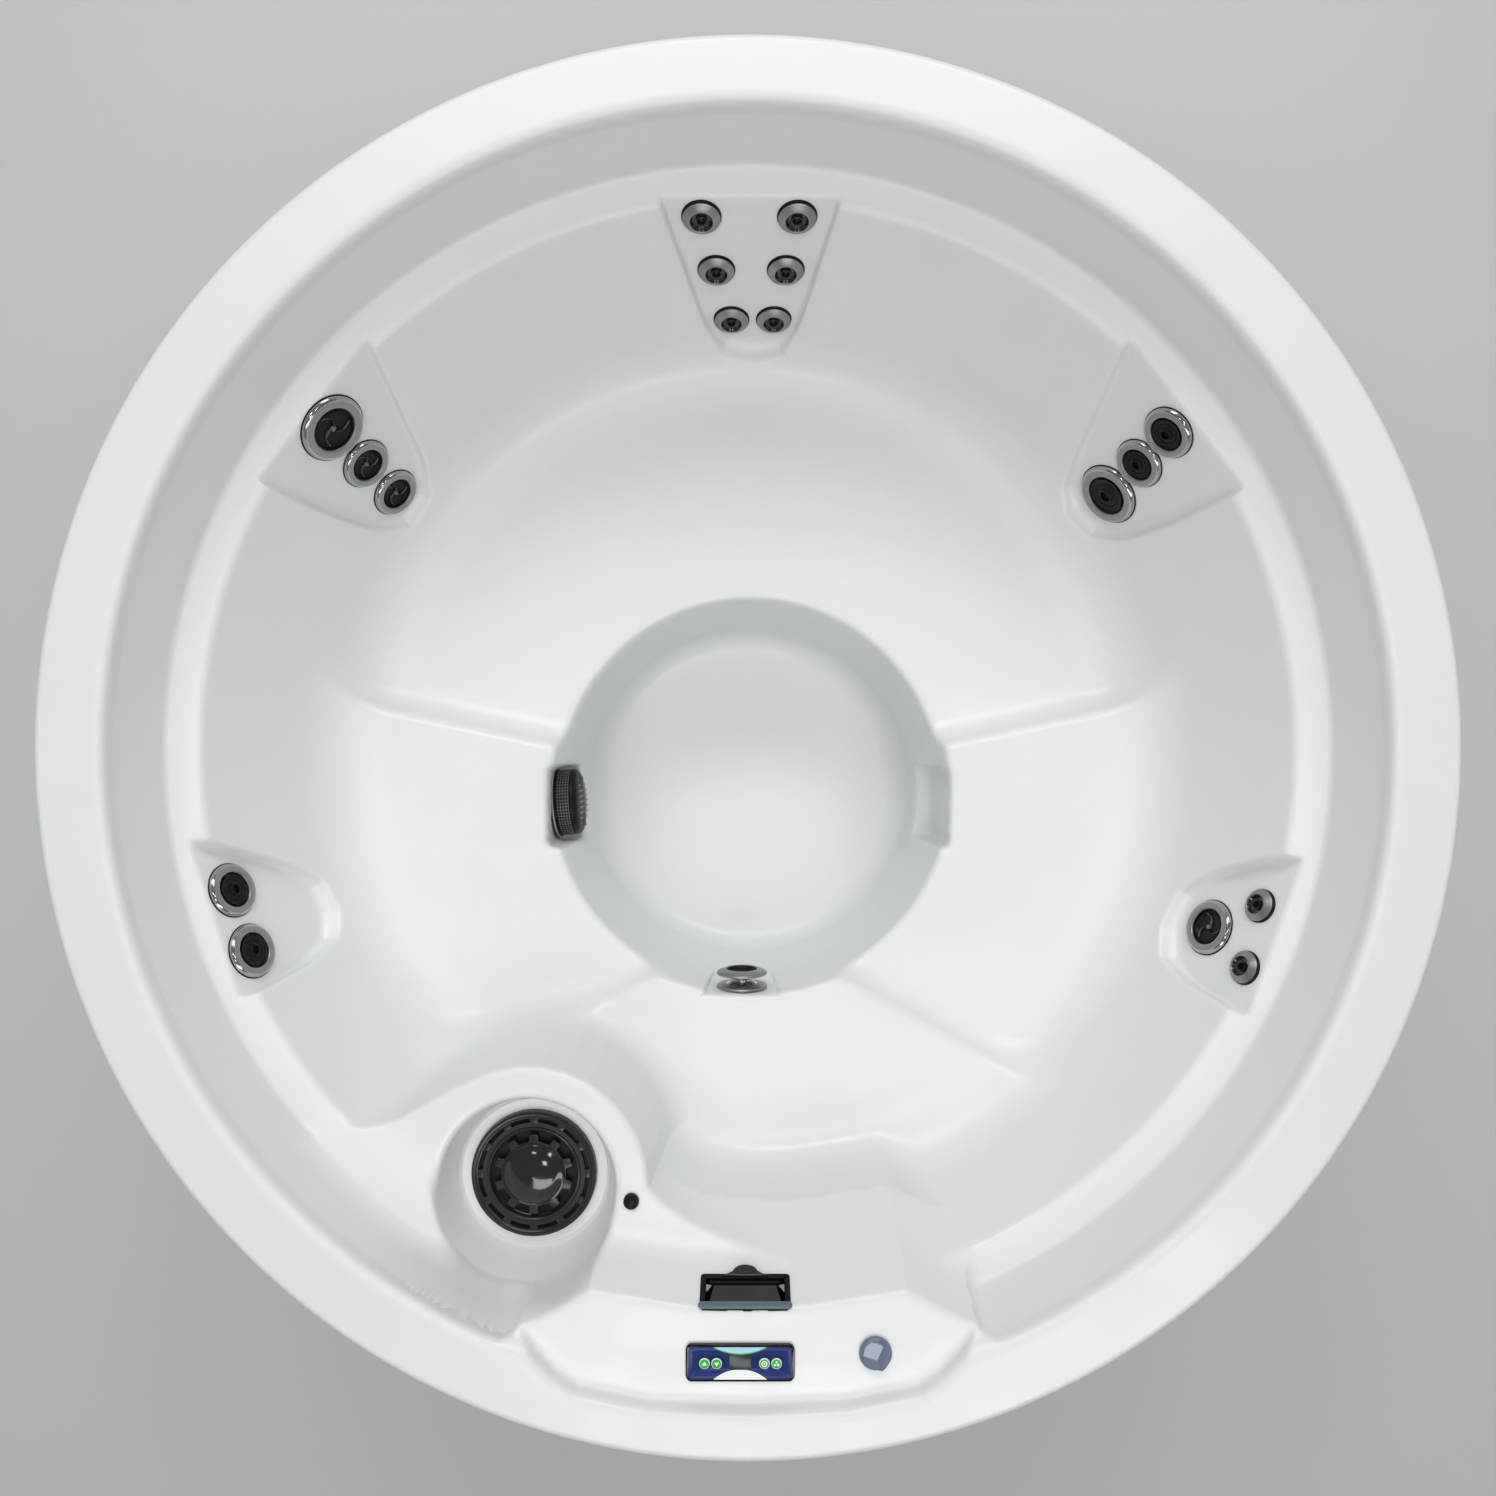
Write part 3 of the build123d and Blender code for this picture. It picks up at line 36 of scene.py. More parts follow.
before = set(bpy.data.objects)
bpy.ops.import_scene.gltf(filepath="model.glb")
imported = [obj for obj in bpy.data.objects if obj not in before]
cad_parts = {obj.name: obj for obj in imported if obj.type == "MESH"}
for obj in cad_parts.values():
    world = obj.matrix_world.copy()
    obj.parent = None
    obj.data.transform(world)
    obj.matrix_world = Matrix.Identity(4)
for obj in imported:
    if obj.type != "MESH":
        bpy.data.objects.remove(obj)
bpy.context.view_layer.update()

MM = 0.001

# The photo's camera: its height over the rim in millimetres, its sensor and its lens
VIEW_HEIGHT = 1400
SENSOR_WIDTH = 36
LENS = 24.45

# Sizes of the tub in millimetres. A depth is measured down from the top of the rim.
TUB_HEIGHT = 840
RIM_OUTER = 990
RIM_INNER = 892
RIM_ROLL = 14
RIM_LIP = 55
SHELL_WALL = 6
LEDGE_DEPTH = 130
LEDGE_OUTER = 878
LEDGE_INNER = 830
LEDGE_FALL = 4
DECK_DEPTH = 28
BACK_LEAN = 0.38
FRONT_SEAT, SIDE_SEAT, BACK_SEAT = 360, 405, 465
FLOOR_DEPTH = 770
STEP_SLOPE = 22
FACET_LEAN = 0.33
FACET_RISE = 60
MOUTH_DEPTH = 32

# The edge lines of the higher seats: (x, y) from left to right
BACK_STEP = ((-1050, 152), (-702, 79), (-345, 4), (345, 4), (702, 79), (1050, 152))
FRONT_STEP = ((-1050, -560), (-540, -519), (-400, -508), (-150, -394), (150, -394), (550, -614), (950, -834))

# Footwell circles: depth, centre x, centre y, radius
FOOTWELL = ((350, 5, -72, 356), (FLOOR_DEPTH, 0, -90, 331))

# Footwell's side recesses, and the flat pad that carries its jet
RECESS_Y, RECESS_HALF, RECESS_FOOT, RECESS_TOP_REACH = -106, 72, 647, 300
RECESS_DEPTHS, RECESS_REACHES = (SIDE_SEAT, 505), (356, 371)
PAD_X, PAD_Y, PAD_FRONT, PAD_HALF, PAD_FOOT = -11, -427, -380, 64, 505

# Control deck: the line of its inner edge, its let-in outline, and the bank that falls from it
DECK_EDGE = (
    (-346, -1100), (-321, -815), (-224, -766), (-150, -777), (-80, -788), (0, -791),
    (80, -788), (150, -777), (224, -766), (321, -815), (346, -1100),
)
DECK_INSET = ((321, -810), (300, -842), (272, -872), (240, -894), (137, -915), (0, -921))
BANK_DEPTHS = (DECK_DEPTH, 205, 360)
BANK_STEPS = (0, 75, 80)

# Waterfall spout: the middle of its mouth on the bank, the way out of it, and half its opening
SPOUT = (-4, -778.7, 785.3)
SPOUT_NORMAL = Vector((0, 177, 75)).normalized()
SPOUT_HALF = (59.5, 22.5)

# Filter deck: its bank's line, and the well
FILTER_CENTRE = (-335, -666)
FILTER_BANK = 184
FILTER_RUN_IN = ((-760, -648), (-640, -600), (-529, -562), (-450, -517))
FILTER_RUN_OUT = ((-126, -691), (-84, -722), (-32, -746), (30, -772))
FILTER_DRAFT = 24
FILTER_ARC_START = 108
WELL_TOP, WELL_FLOOR, WELL_DEPTH = 137, 118, 75

# Radius of the well's own patch, what the rest of the shell laps it by, and its lift off the surface
WELL_PATCH, WELL_LAP, WELL_LIFT = 168, 8, 0.2

# Jet facets: azimuth, set-back and outline, seen from inside with y up the slope
FACETS = {
    "back": (90, 3, ((-134, 0), (-64, -308), (-24, -333), (40, -333), (80, -310), (139, 0))),
    "upper_left": (142.4, 6, ((-130, 0), (-119, -150), (-82, -295), (-25, -317), (36, -291), (137, 0))),
    "upper_right": (37.5, 6, ((-139, 0), (-39, -277), (-10, -313), (44, -326), (98, -298), (128, -190), (145, 0))),
    "lower_left": (198.1, 18, ((-121, 0), (-117, -80), (-106, -176), (-72, -226), (-17, -228), (34, -202), (128, 0))),
    "lower_right": (340.4, 18, ((-125, 0), (-92, -91), (-45, -178), (10, -209), (79, -200), (113, -159), (129, 0))),
}


# ---------------------------------------------------------------- shell form
def fill_corner(a, b, soft):
    """Both limits hold, and the corner between them is filled to about this radius."""
    share = np.clip(0.5 - 0.5 * (b - a) / soft, 0, 1)
    return b + (a - b) * share + soft * share * (1 - share)


def round_edge(a, b, soft):
    """Either space is open, and the edge between them is rounded off."""
    return -fill_corner(-a, -b, soft)


def outline_distance(x, y, outline):
    """Signed distance to a closed outline, negative inside."""
    nearest = np.full_like(x, 1e9)
    inside = np.zeros(x.shape, bool)
    for (ax, ay), (bx, by) in zip(outline, outline[1:] + outline[:1]):
        ex, ey = bx - ax, by - ay
        share = np.clip(((x - ax) * ex + (y - ay) * ey) / (ex * ex + ey * ey), 0, 1)
        nearest = np.minimum(nearest, np.hypot(x - ax - share * ex, y - ay - share * ey))
        crosses = (ay > y) != (by > y)
        if ey:
            inside ^= crosses & (x < (y - ay) * ex / ey + ax)
    return np.where(inside, -nearest, nearest)


def softened(outline, reach=44):
    """An outline with its corners cut back by up to this reach, twice over."""
    points = [Vector(p) for p in outline]
    for cut_back in (reach, reach / 3):
        cut = []
        for a, b in zip(points, points[1:] + points[:1]):
            share = min(0.4, cut_back / max((b - a).length, 1))
            cut += [a.lerp(b, share), a.lerp(b, 1 - share)]
        points = cut
    return tuple((p.x, p.y) for p in points)


def facet_frame(azimuth, setback):
    """Origin, sideways, up-slope and outward-facing directions of a facet, in millimetres."""
    turn, lean = math.radians(azimuth), math.atan(FACET_LEAN)
    reach = LEDGE_INNER + setback
    origin = Vector((reach * math.cos(turn), reach * math.sin(turn), TUB_HEIGHT - LEDGE_DEPTH))
    normal = Vector((-math.cos(turn) * math.cos(lean), -math.sin(turn) * math.cos(lean), math.sin(lean)))
    sideways = Vector((math.sin(turn), -math.cos(turn), 0))
    return origin, sideways, normal.cross(sideways), normal


def facet_open(x, y, t, facet):
    """Open space in front of a flat jet facet let into the backrest."""
    azimuth, setback, outline = facet
    origin, u, v, n = facet_frame(azimuth, setback)
    dx, dy, dz = x - origin.x, y - origin.y, TUB_HEIGHT - t - origin.z
    px = dx * u.x + dy * u.y
    py = dx * v.x + dy * v.y + dz * v.z
    pz = dx * n.x + dy * n.y + dz * n.z
    (la, _), (lb, lc) = outline[:2]
    (ra, _), (rb, rc) = outline[-1], outline[-2]
    left = (la - (la - lb) * FACET_RISE / lc, FACET_RISE)
    right = (ra - (ra - rb) * FACET_RISE / rc, FACET_RISE)
    side = outline_distance(px, py, softened((left,) + outline[1:-1] + (right,)))
    low = min(point[1] for point in outline)
    walled = fill_corner(-pz, side, np.interp(py, (low, low * 0.6), (30, 6)))
    return fill_corner(walled, pz - 45, 4)


def step_open(x, y, t, line, above, depth):
    """Open space over a lower seat, behind the sloping riser below a step line."""
    xs, ys = zip(*line)
    edge = np.interp(x, xs, ys) + STEP_SLOPE * (t - above) / (depth - above)
    return fill_corner((edge - y) * 0.94, t - depth, 40)


def open_space(x, y, t):
    """About how far a point lies outside the tub's open space: negative in the open."""
    r = np.hypot(x, y)
    wall = r - np.interp(t, (0, DECK_DEPTH, LEDGE_DEPTH), (RIM_INNER, RIM_INNER, LEDGE_OUTER))
    shelf = t - LEDGE_DEPTH - LEDGE_FALL * np.clip((LEDGE_OUTER - r) / (LEDGE_OUTER - LEDGE_INNER), 0, 1)
    upper = fill_corner(wall, shelf, 9)
    seats = round_edge(t - FRONT_SEAT, step_open(x, y, t, FRONT_STEP, FRONT_SEAT, SIDE_SEAT), 16)
    seats = round_edge(seats, step_open(x, y, t, BACK_STEP, SIDE_SEAT, BACK_SEAT), 16)
    cone = (r - LEDGE_INNER + BACK_LEAN * (t - LEDGE_DEPTH)) * math.cos(math.atan(BACK_LEAN))
    bowl = fill_corner(cone, seats, 85)
    space = round_edge(upper, bowl, 10)
    return space, r


def bank_cut(x, y, t, space):
    """Cuts the control deck and the bank under it out of the open space."""
    shift = np.interp(t, BANK_DEPTHS, BANK_STEPS)
    bank = fill_corner(outline_distance(x, y - shift, DECK_EDGE), DECK_DEPTH - t, 9)
    return fill_corner(space, -bank, 40)


def filter_cut(x, y, t, space):
    """Cuts the filter's deck out of the open space, and opens its well."""
    cx, cy = FILTER_CENTRE
    grow = FILTER_DRAFT * (t - LEDGE_DEPTH) / (SIDE_SEAT - LEDGE_DEPTH)
    arc = [
        (cx + FILTER_BANK * math.cos(a), cy + FILTER_BANK * math.sin(a))
        for a in np.linspace(math.radians(FILTER_ARC_START), 0, 10)
    ]
    outline = list(FILTER_RUN_IN) + arc + list(FILTER_RUN_OUT) + [(30, -1100), (-760, -1100)]
    stand = outline_distance(x, y, tuple(outline)) - grow
    stand = fill_corner(stand, LEDGE_DEPTH + LEDGE_FALL - t, 12)
    space = fill_corner(space, -stand, 50)
    reach = np.hypot(x - cx, y - cy)
    bucket = reach - np.interp(t, (LEDGE_DEPTH, LEDGE_DEPTH + WELL_DEPTH), (WELL_TOP, WELL_FLOOR))
    bucket = fill_corner(bucket, t - LEDGE_DEPTH - WELL_DEPTH, 12)
    return round_edge(space, bucket, 12)


def footwell_open(x, y, t):
    """The round footwell, its two side recesses and the flat pad under the front seat."""
    depths = [level[0] for level in FOOTWELL]
    fx, fy, fr = (np.interp(t, depths, [level[i] for level in FOOTWELL]) for i in (1, 2, 3))
    well = fill_corner(np.hypot(x - fx, y - fy) - fr, t - FLOOR_DEPTH, 62)
    for side in (-1, 1):
        back = side * x - np.interp(t, RECESS_DEPTHS, RECESS_REACHES)
        notch = fill_corner(back, np.abs(y - RECESS_Y) - RECESS_HALF, 16)
        notch = fill_corner(notch, np.maximum(t - RECESS_FOOT, RECESS_TOP_REACH - side * x), 16)
        well = round_edge(well, notch, 10)
    pad = np.maximum(PAD_Y - y, np.abs(x - PAD_X) - PAD_HALF + 0.06 * (t - FRONT_SEAT))
    pad = fill_corner(pad, np.maximum(t - PAD_FOOT, y - PAD_FRONT), 8)
    return round_edge(well, pad, 6)


def deck_open(x, y, t):
    """The let-in top of the control deck and the waterfall's mouth in the bank."""
    right = list(DECK_INSET)
    inset = tuple(right + [(-a, b) for a, b in reversed(right[:-1])] + [(-321, -700), (321, -700)])
    inset_open = fill_corner(outline_distance(x, y, inset), t - DECK_DEPTH, 9)
    dy, dz = y - SPOUT[1], TUB_HEIGHT - t - SPOUT[2]
    down = dy * SPOUT_NORMAL.z - dz * SPOUT_NORMAL.y
    out = dy * SPOUT_NORMAL.y + dz * SPOUT_NORMAL.z
    mouth = np.maximum(np.abs(x - SPOUT[0]) - SPOUT_HALF[0], np.abs(down) - SPOUT_HALF[1])
    return np.minimum(inset_open, np.maximum(mouth, -MOUTH_DEPTH - out))


def where(region, space, change, x, y, t):
    """Changes the space in one region only."""
    if region.any():
        space[region] = change(x[region], y[region], t[region], space[region])


def hollow(x, y, t):
    """The tub's whole open space, negative in the open, in millimetres."""
    space, r = open_space(x, y, t)
    where((y < -600) & (np.abs(x) < 460), space, bank_cut, x, y, t)
    front = (y < -380) & (x < 150) & (t > 30)
    where(front, space, filter_cut, x, y, t)
    for facet in FACETS.values():
        turn = math.radians(facet[0])
        near = (x * math.cos(turn) + y * math.sin(turn) > 560) & (t < 560)
        near &= np.abs(x * math.sin(turn) - y * math.cos(turn)) < 260
        where(near, space, lambda a, b, c, d: round_edge(d, facet_open(a, b, c, facet), 7), x, y, t)
    inner = (r < 480) & (t > 240)
    where(inner, space, lambda a, b, c, d: round_edge(d, footwell_open(a, b, c), 15), x, y, t)
    deck = (y < -700) & (np.abs(x) < 340) & (t < 200)
    where(deck, space, lambda a, b, c, d: round_edge(d, deck_open(a, b, c), 4), x, y, t)
    return round_edge(space, t, 16)


def seen_depth(sx, sy):
    """Depth at which a sight line through (sx, sy) on the rim's level meets the shell."""
    t = np.full(sx.shape, -2.0)
    moving = np.arange(len(sx))
    for _ in range(90):
        spread = 1 + t[moving] / VIEW_HEIGHT
        gap = hollow(sx[moving] * spread, sy[moving] * spread, t[moving])
        t[moving] = np.minimum(t[moving] + np.clip(-gap, -4, 60) * 0.72, FLOOR_DEPTH + 2)
        moving = moving[np.abs(gap) > 0.1]
        if not len(moving):
            break
    return t


def shell_normals(points):
    """Unit normals of the hollow's surface, out of the shell and into the open."""
    x, y, t = points[:, 0], points[:, 1], TUB_HEIGHT - points[:, 2]
    step = 0.6
    gx = hollow(x + step, y, t) - hollow(x - step, y, t)
    gy = hollow(x, y + step, t) - hollow(x, y - step, t)
    gt = hollow(x, y, t + step) - hollow(x, y, t - step)
    normal = np.stack((-gx, -gy, gt), axis=1)
    return normal / np.maximum(np.linalg.norm(normal, axis=1, keepdims=True), 1e-9)


def ring_sights(radius, count, centre):
    """A ring of sight lines, at the rim's level. Its middle may lie off the tub's."""
    turn = np.arange(count) * 2 * math.pi / count
    sx = centre[0] + radius * np.cos(turn)
    sy = centre[1] + radius * np.sin(turn)
    return np.stack((sx, sy), axis=1)


def met_sights(rings):
    """The same rings with the shell's depth on each sight line."""
    sights = np.concatenate(rings)
    depths = seen_depth(sights[:, 0], sights[:, 1])
    ends = np.cumsum([len(ring) for ring in rings])
    return np.split(np.column_stack((sights, depths)), ends[:-1])


def meet_edges(rings):
    """Where the depth jumps between two rings, moves both points up to the edge itself."""
    for outer, inner in zip(rings, rings[1:]):
        if len(outer) != len(inner):
            continue
        jump = np.abs(outer[:, 2] - inner[:, 2]) > 14
        if not jump.any():
            continue
        low, high = outer[jump].copy(), inner[jump].copy()
        for _ in range(8):
            middle = (low + high) / 2
            middle[:, 2] = seen_depth(middle[:, 0], middle[:, 1])
            nearer = np.abs(middle[:, 2] - low[:, 2]) < np.abs(middle[:, 2] - high[:, 2])
            low[nearer], high[~nearer] = middle[nearer], middle[~nearer]
        real = np.abs(low[:, 2] - high[:, 2]) > 9
        at = np.flatnonzero(jump)[real]
        outer[at], inner[at] = low[real], high[real]


def well_rings(count):
    """Rings about the filter, from its deck over the well's edge to the well's floor."""
    rings = []
    turn = np.arange(count) * 2 * math.pi / count
    bands = ((WELL_PATCH, 144, -3.0), (144, 110, -1.0), (110, 4, -7.0))
    radii = np.concatenate([np.arange(*band) for band in bands])
    for radius in radii:
        x = FILTER_CENTRE[0] + radius * np.cos(turn)
        y = FILTER_CENTRE[1] + radius * np.sin(turn)
        t = np.full(count, LEDGE_DEPTH - 90.0)
        for _ in range(60):
            t += np.clip(-hollow(x, y, t), -4, 20) * 0.8
        rings.append(np.stack((x, y, TUB_HEIGHT + WELL_LIFT - t), axis=1))
    return rings


def outside_well(points, faces):
    """The faces that the well's own patch doesn't cover."""
    reach = np.hypot(points[:, 0] - FILTER_CENTRE[0], points[:, 1] - FILTER_CENTRE[1])
    covered = (reach < WELL_PATCH - WELL_LAP) & (points[:, 2] < TUB_HEIGHT - DECK_DEPTH - 20)
    return [face for face in faces if not all(covered[list(face)])]


def shell_points(sights):
    """The points of the shell, in millimetres, that the sight lines meet."""
    spread = 1 + sights[:, 2:] / VIEW_HEIGHT
    return np.concatenate((sights[:, :2] * spread, TUB_HEIGHT - sights[:, 2:]), axis=1)


def ringed_mesh(name, rings, counts, close_middle):
    """A mesh from rings of points, outermost first. A ring may have half as many as the last."""
    starts = np.concatenate(([0], np.cumsum(counts)))
    faces = []
    for k in range(len(rings) - 1):
        a, b, n, m = starts[k], starts[k + 1], counts[k], counts[k + 1]
        for j in range(m):
            i = (j + 1) % m
            if n == m:
                faces.append((a + j, a + i, b + i, b + j))
            else:
                f0, f1, f2 = a + 2 * j, a + 2 * j + 1, a + (2 * j + 2) % n
                faces += [(f0, f1, b + j), (f1, b + i, b + j), (f1, f2, b + i)]
    points = np.concatenate(rings)
    if close_middle:
        points = np.concatenate((points, rings[-1].mean(axis=0, keepdims=True)))
        last, n = starts[len(rings) - 1], counts[-1]
        faces += [(last + j, last + (j + 1) % n, len(points) - 1) for j in range(n)]
    if name != "shell_well":
        faces = outside_well(points, faces)
    used = np.zeros(len(points), bool)
    used[[corner for face in faces for corner in face]] = True
    order = np.cumsum(used) - 1
    faces = [tuple(int(order[corner]) for corner in face) for face in faces]
    mesh = bpy.data.meshes.new(name)
    mesh.from_pydata((points[used] * MM).tolist(), [], faces)
    mesh.update()
    return mesh, points, used


# ---------------------------------------------------------------- materials
def linear(code):
    """sRGB hex to a linear colour."""
    parts = [int(code[i:i + 2], 16) / 255 for i in (1, 3, 5)]
    return tuple(c / 12.92 if c <= 0.04045 else ((c + 0.055) / 1.055) ** 2.4 for c in parts) + (1.0,)


def node(tree, kind, settings=None, links=None):
    """Adds a shader node, with attributes or input values, and links into its inputs."""
    made = tree.nodes.new(kind)
    for key, value in (settings or {}).items():
        if hasattr(made, key) and key not in made.inputs:
            setattr(made, key, value)
        else:
            made.inputs[key].default_value = value
    for key, source in (links or {}).items():
        tree.links.new(source, made.inputs[key])
    return made


def finish_of(name, colour, roughness, metallic=0.0, grain=None, mottle=0.0, coat=0.0, shine=0.5):
    """A finish: colour with a little mottling, and grain as (size in mm, height in mm, kind)."""
    if name in bpy.data.materials:
        return bpy.data.materials[name]
    material = bpy.data.materials.new(name)
    material.use_nodes = True
    tree = material.node_tree
    tree.nodes.clear()
    out = node(tree, "ShaderNodeOutputMaterial")
    shader = node(tree, "ShaderNodeBsdfPrincipled", {
        "Base Color": linear(colour), "Metallic": metallic, "Roughness": roughness,
        "Coat Weight": coat, "Specular IOR Level": shine,
    })
    tree.links.new(shader.outputs[0], out.inputs[0])
    place = node(tree, "ShaderNodeTexCoord").outputs["Object"]
    if mottle:
        cloud = node(tree, "ShaderNodeTexNoise", {"Scale": 9.0, "Detail": 3.0}, {"Vector": place})
        mix = node(tree, "ShaderNodeMix", {"data_type": "RGBA"})
        base = Vector(linear(colour)[:3])
        mix.inputs["A"].default_value = tuple(base * (1 - mottle)) + (1.0,)
        mix.inputs["B"].default_value = tuple(min(1.0, c * (1 + mottle)) for c in base) + (1.0,)
        tree.links.new(cloud.outputs["Fac"], mix.inputs["Factor"])
        tree.links.new(mix.outputs["Result"], shader.inputs["Base Color"])
        rough = node(tree, "ShaderNodeMapRange", {
            "From Min": 0.35, "From Max": 0.65,
            "To Min": max(0.02, roughness - 0.05), "To Max": roughness + 0.05,
        }, {"Value": cloud.outputs["Fac"]})
        tree.links.new(rough.outputs["Result"], shader.inputs["Roughness"])
    if grain:
        size, height, kind = grain
        settings = {"Scale": 1000 / size, "Detail": 2.0}
        if kind == "leather":
            cells = node(tree, "ShaderNodeTexVoronoi", {
                "feature": "SMOOTH_F1", "Scale": 1000 / size,
            }, {"Vector": place})
            relief = cells.outputs["Distance"]
        elif kind == "brushed":
            stretch = node(tree, "ShaderNodeMapping", {"Scale": (1.0, 1.0, 0.04)}, {"Vector": place})
            relief = node(tree, "ShaderNodeTexNoise", settings, {"Vector": stretch.outputs[0]}).outputs["Fac"]
        else:
            relief = node(tree, "ShaderNodeTexNoise", settings, {"Vector": place}).outputs["Fac"]
        bump = node(tree, "ShaderNodeBump", {"Strength": 1.0, "Distance": height * MM}, {"Height": relief})
        tree.links.new(bump.outputs[0], shader.inputs["Normal"])
    return material


# Each finish: name, sRGB colour, roughness, metallic, grain (size and height in mm, kind), mottling,
# and where they differ from none and 0.5, its coat and its shine
FINISHES = {
    # Acrylic sheet, vacuum-formed: near white, soft gloss, a fine leather grain. The grain is
    # drawn a little coarser than the real one so that it shows.
    "acrylic": ("acrylic_leather_grain_formed", "#e3e6e5", 0.34, 0, (3.4, 0.10, "leather"), 0.012),
    # Stainless steel skin, pressed and polished: clear dark and light bands round each jet
    "bright": ("stainless_steel_polished", "#b6b6b4", 0.14, 1.0, (1.5, 0.004, "noise"), 0.03),
    # Stainless steel skin, satin: the flat faces of the jet rings, an even light grey
    "satin": ("stainless_steel_satin", "#9d9d9c", 0.42, 1.0, (0.5, 0.006, "noise"), 0.03),
    # Black ABS, moulded: satin, nearly no colour. Its colour and shine are set very low, so the shallow sockets
    # inside the jet rings carry painted shade for the deep throats behind them as well as black plastic
    "black": ("abs_black_moulded", "#0b0c0d", 0.4, 0, (0.6, 0.02, "noise"), 0.05, 0, 0.22),
    # Black ABS, polished mould: sharp window reflections on a near-black face
    "gloss": ("abs_black_polished", "#1a1e20", 0.1, 0, (30, 0.05, "noise"), 0.04, 0.3),
    # Slate ABS, moulded: the filter lid's cool dark grey
    "slate": ("abs_slate_moulded", "#25292b", 0.22, 0, (0.8, 0.02, "noise"), 0.06, 0, 0.4),
    # Grey ABS, moulded: arms, teeth and ribs that stand out from the black round them
    "grey": ("abs_grey_moulded", "#63696b", 0.38, 0, (0.6, 0.02, "noise"), 0.05),
    # Smoky acrylic knob, moulded: cool grey-blue that light passes into
    "smoke": ("acrylic_smoke_moulded", "#66718a", 0.2, 0, (20, 0.03, "noise"), 0.05, 0.4),
    # The same acrylic painted pale for the grip's face turned to the upper left: a painted reflection of the light on
    # that face
    "smoke_painted_reflection": ("acrylic_smoke_painted_reflection", "#aeb2c4", 0.14, 0, (20, 0.03, "noise"), 0.04, 0.5),
    # Bezel: plastic, chrome-plated and tinted dark, so it mirrors as brown-black
    "tinted": ("chrome_plating_tinted", "#403b39", 0.1, 1.0, (2.0, 0.004, "noise"), 0.03),
    # Blue-grey lip of soft PVC
    "lip": ("pvc_lip_extruded", "#5d6d78", 0.4, 0, (1.0, 0.02, "noise"), 0.04),
    # Cabinet boards of wood-plastic composite, embossed: matte charcoal with long grain
    "board": ("composite_board_embossed", "#4a4846", 0.62, 0, (5.0, 0.35, "brushed"), 0.16),
    # Base pan of formed ABS sheet: plain black and dull
    "base": ("abs_base_formed", "#1a1a1a", 0.6, 0, (2.0, 0.05, "noise"), 0.05),
    # Stainless screws, turned and brushed
    "screw": ("stainless_steel_brushed", "#b4b4b2", 0.3, 1.0, (0.5, 0.01, "brushed"), 0.03),
    # Printed polycarbonate film of the control panel
    "navy": ("polycarbonate_film_navy", "#263473", 0.22, 0, (0.5, 0.008, "noise"), 0.02, 0, 0.15),
    "sky": ("polycarbonate_film_sky", "#a8d4ea", 0.22, 0, (0.5, 0.008, "noise"), 0.01, 0, 0.15),
    "leaf": ("polycarbonate_film_green", "#33b23e", 0.25, 0, (0.5, 0.008, "noise"), 0.02, 0, 0.15),
    "white": ("polycarbonate_film_white", "#eef1f0", 0.25, 0, (0.5, 0.008, "noise"), 0.01, 0, 0.15),
    # Liquid-crystal window behind clear film, unlit: dark grey-green
    "window": ("display_window_unlit", "#2b3335", 0.16, 0, (0.5, 0.004, "noise"), 0.03, 0, 0.3),
    # White PVC pipe and jet bodies, moulded
    "pvc": ("pvc_white_moulded", "#e8eae9", 0.42, 0, (1.0, 0.02, "noise"), 0.03),
    # Powder-coated steel of the control box and motor
    "coated": ("steel_powder_coated", "#3c4248", 0.5, 0, (0.9, 0.03, "noise"), 0.05),
    # Polyester fleece of the filter, pleated
    "fleece": ("polyester_fleece_pleated", "#e9e8e2", 0.9, 0, (0.6, 0.08, "noise"), 0.04),
}


def finishes():
    """Every finish of the tub, made once."""
    return {key: finish_of(*row) for key, row in FINISHES.items()}


CAD_FINISH = (
    ("panel_bezel", "gloss"), ("panel_screws", "screw"), ("cabinet", "board"), ("access_panel", "board"),
    ("base_pan", "base"), ("pump_motor", "coated"), ("control_box", "coated"), ("heater_tube", "screw"),
    ("pump", "black"), ("filter_canister", "pvc"), ("filter_cartridge", "fleece"), ("filter_lid", "slate"),
    ("filter_cap", "gloss"), ("back_jet_bodies", "pvc"), ("side_jet_bodies", "pvc"), ("plumbing", "pvc"),
    ("suction_body", "bright"), ("suction_cover", "gloss"), ("waterfall_spout", "gloss"),
    ("foot_jet", "bright"), ("back_jet", "bright"), ("lower_right_jet_2", "bright"),
    ("lower_right_jet_3", "bright"), ("air_knob", "smoke"), ("panel_overlay", "navy"),
    ("panel_button", "leaf"), ("shell", "acrylic"),
)


def cad_finish(name):
    """The finish of a CAD node, by how its name starts."""
    if name.endswith("_ring"):
        return "bright"
    for start, finish in CAD_FINISH:
        if name.startswith(start):
            return finish
    return "black"


# ---------------------------------------------------------------- small helpers
def tied(piece, body, replaced):
    """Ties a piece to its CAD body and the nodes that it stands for."""
    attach(piece, body)
    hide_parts(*replaced)


def add_piece(name, mesh, body, finish, replaced):
    """Puts a finished mesh into the scene as a piece."""
    piece = bpy.data.objects.new(name, mesh)
    bpy.context.scene.collection.objects.link(piece)
    mesh.materials.append(finishes()[finish])
    tied(piece, body, replaced)


def deselect():
    bpy.ops.object.select_all(action="DESELECT")


def started(name, mesh):
    """A new object, alone selected and active, ready for modelling."""
    deselect()
    made = bpy.data.objects.new(name, mesh)
    bpy.context.scene.collection.objects.link(made)
    made.select_set(True)
    bpy.context.view_layer.objects.active = made
    return made


def moved(x, y, z):
    """A shift, in millimetres."""
    return Matrix.Translation((x * MM, y * MM, z * MM))


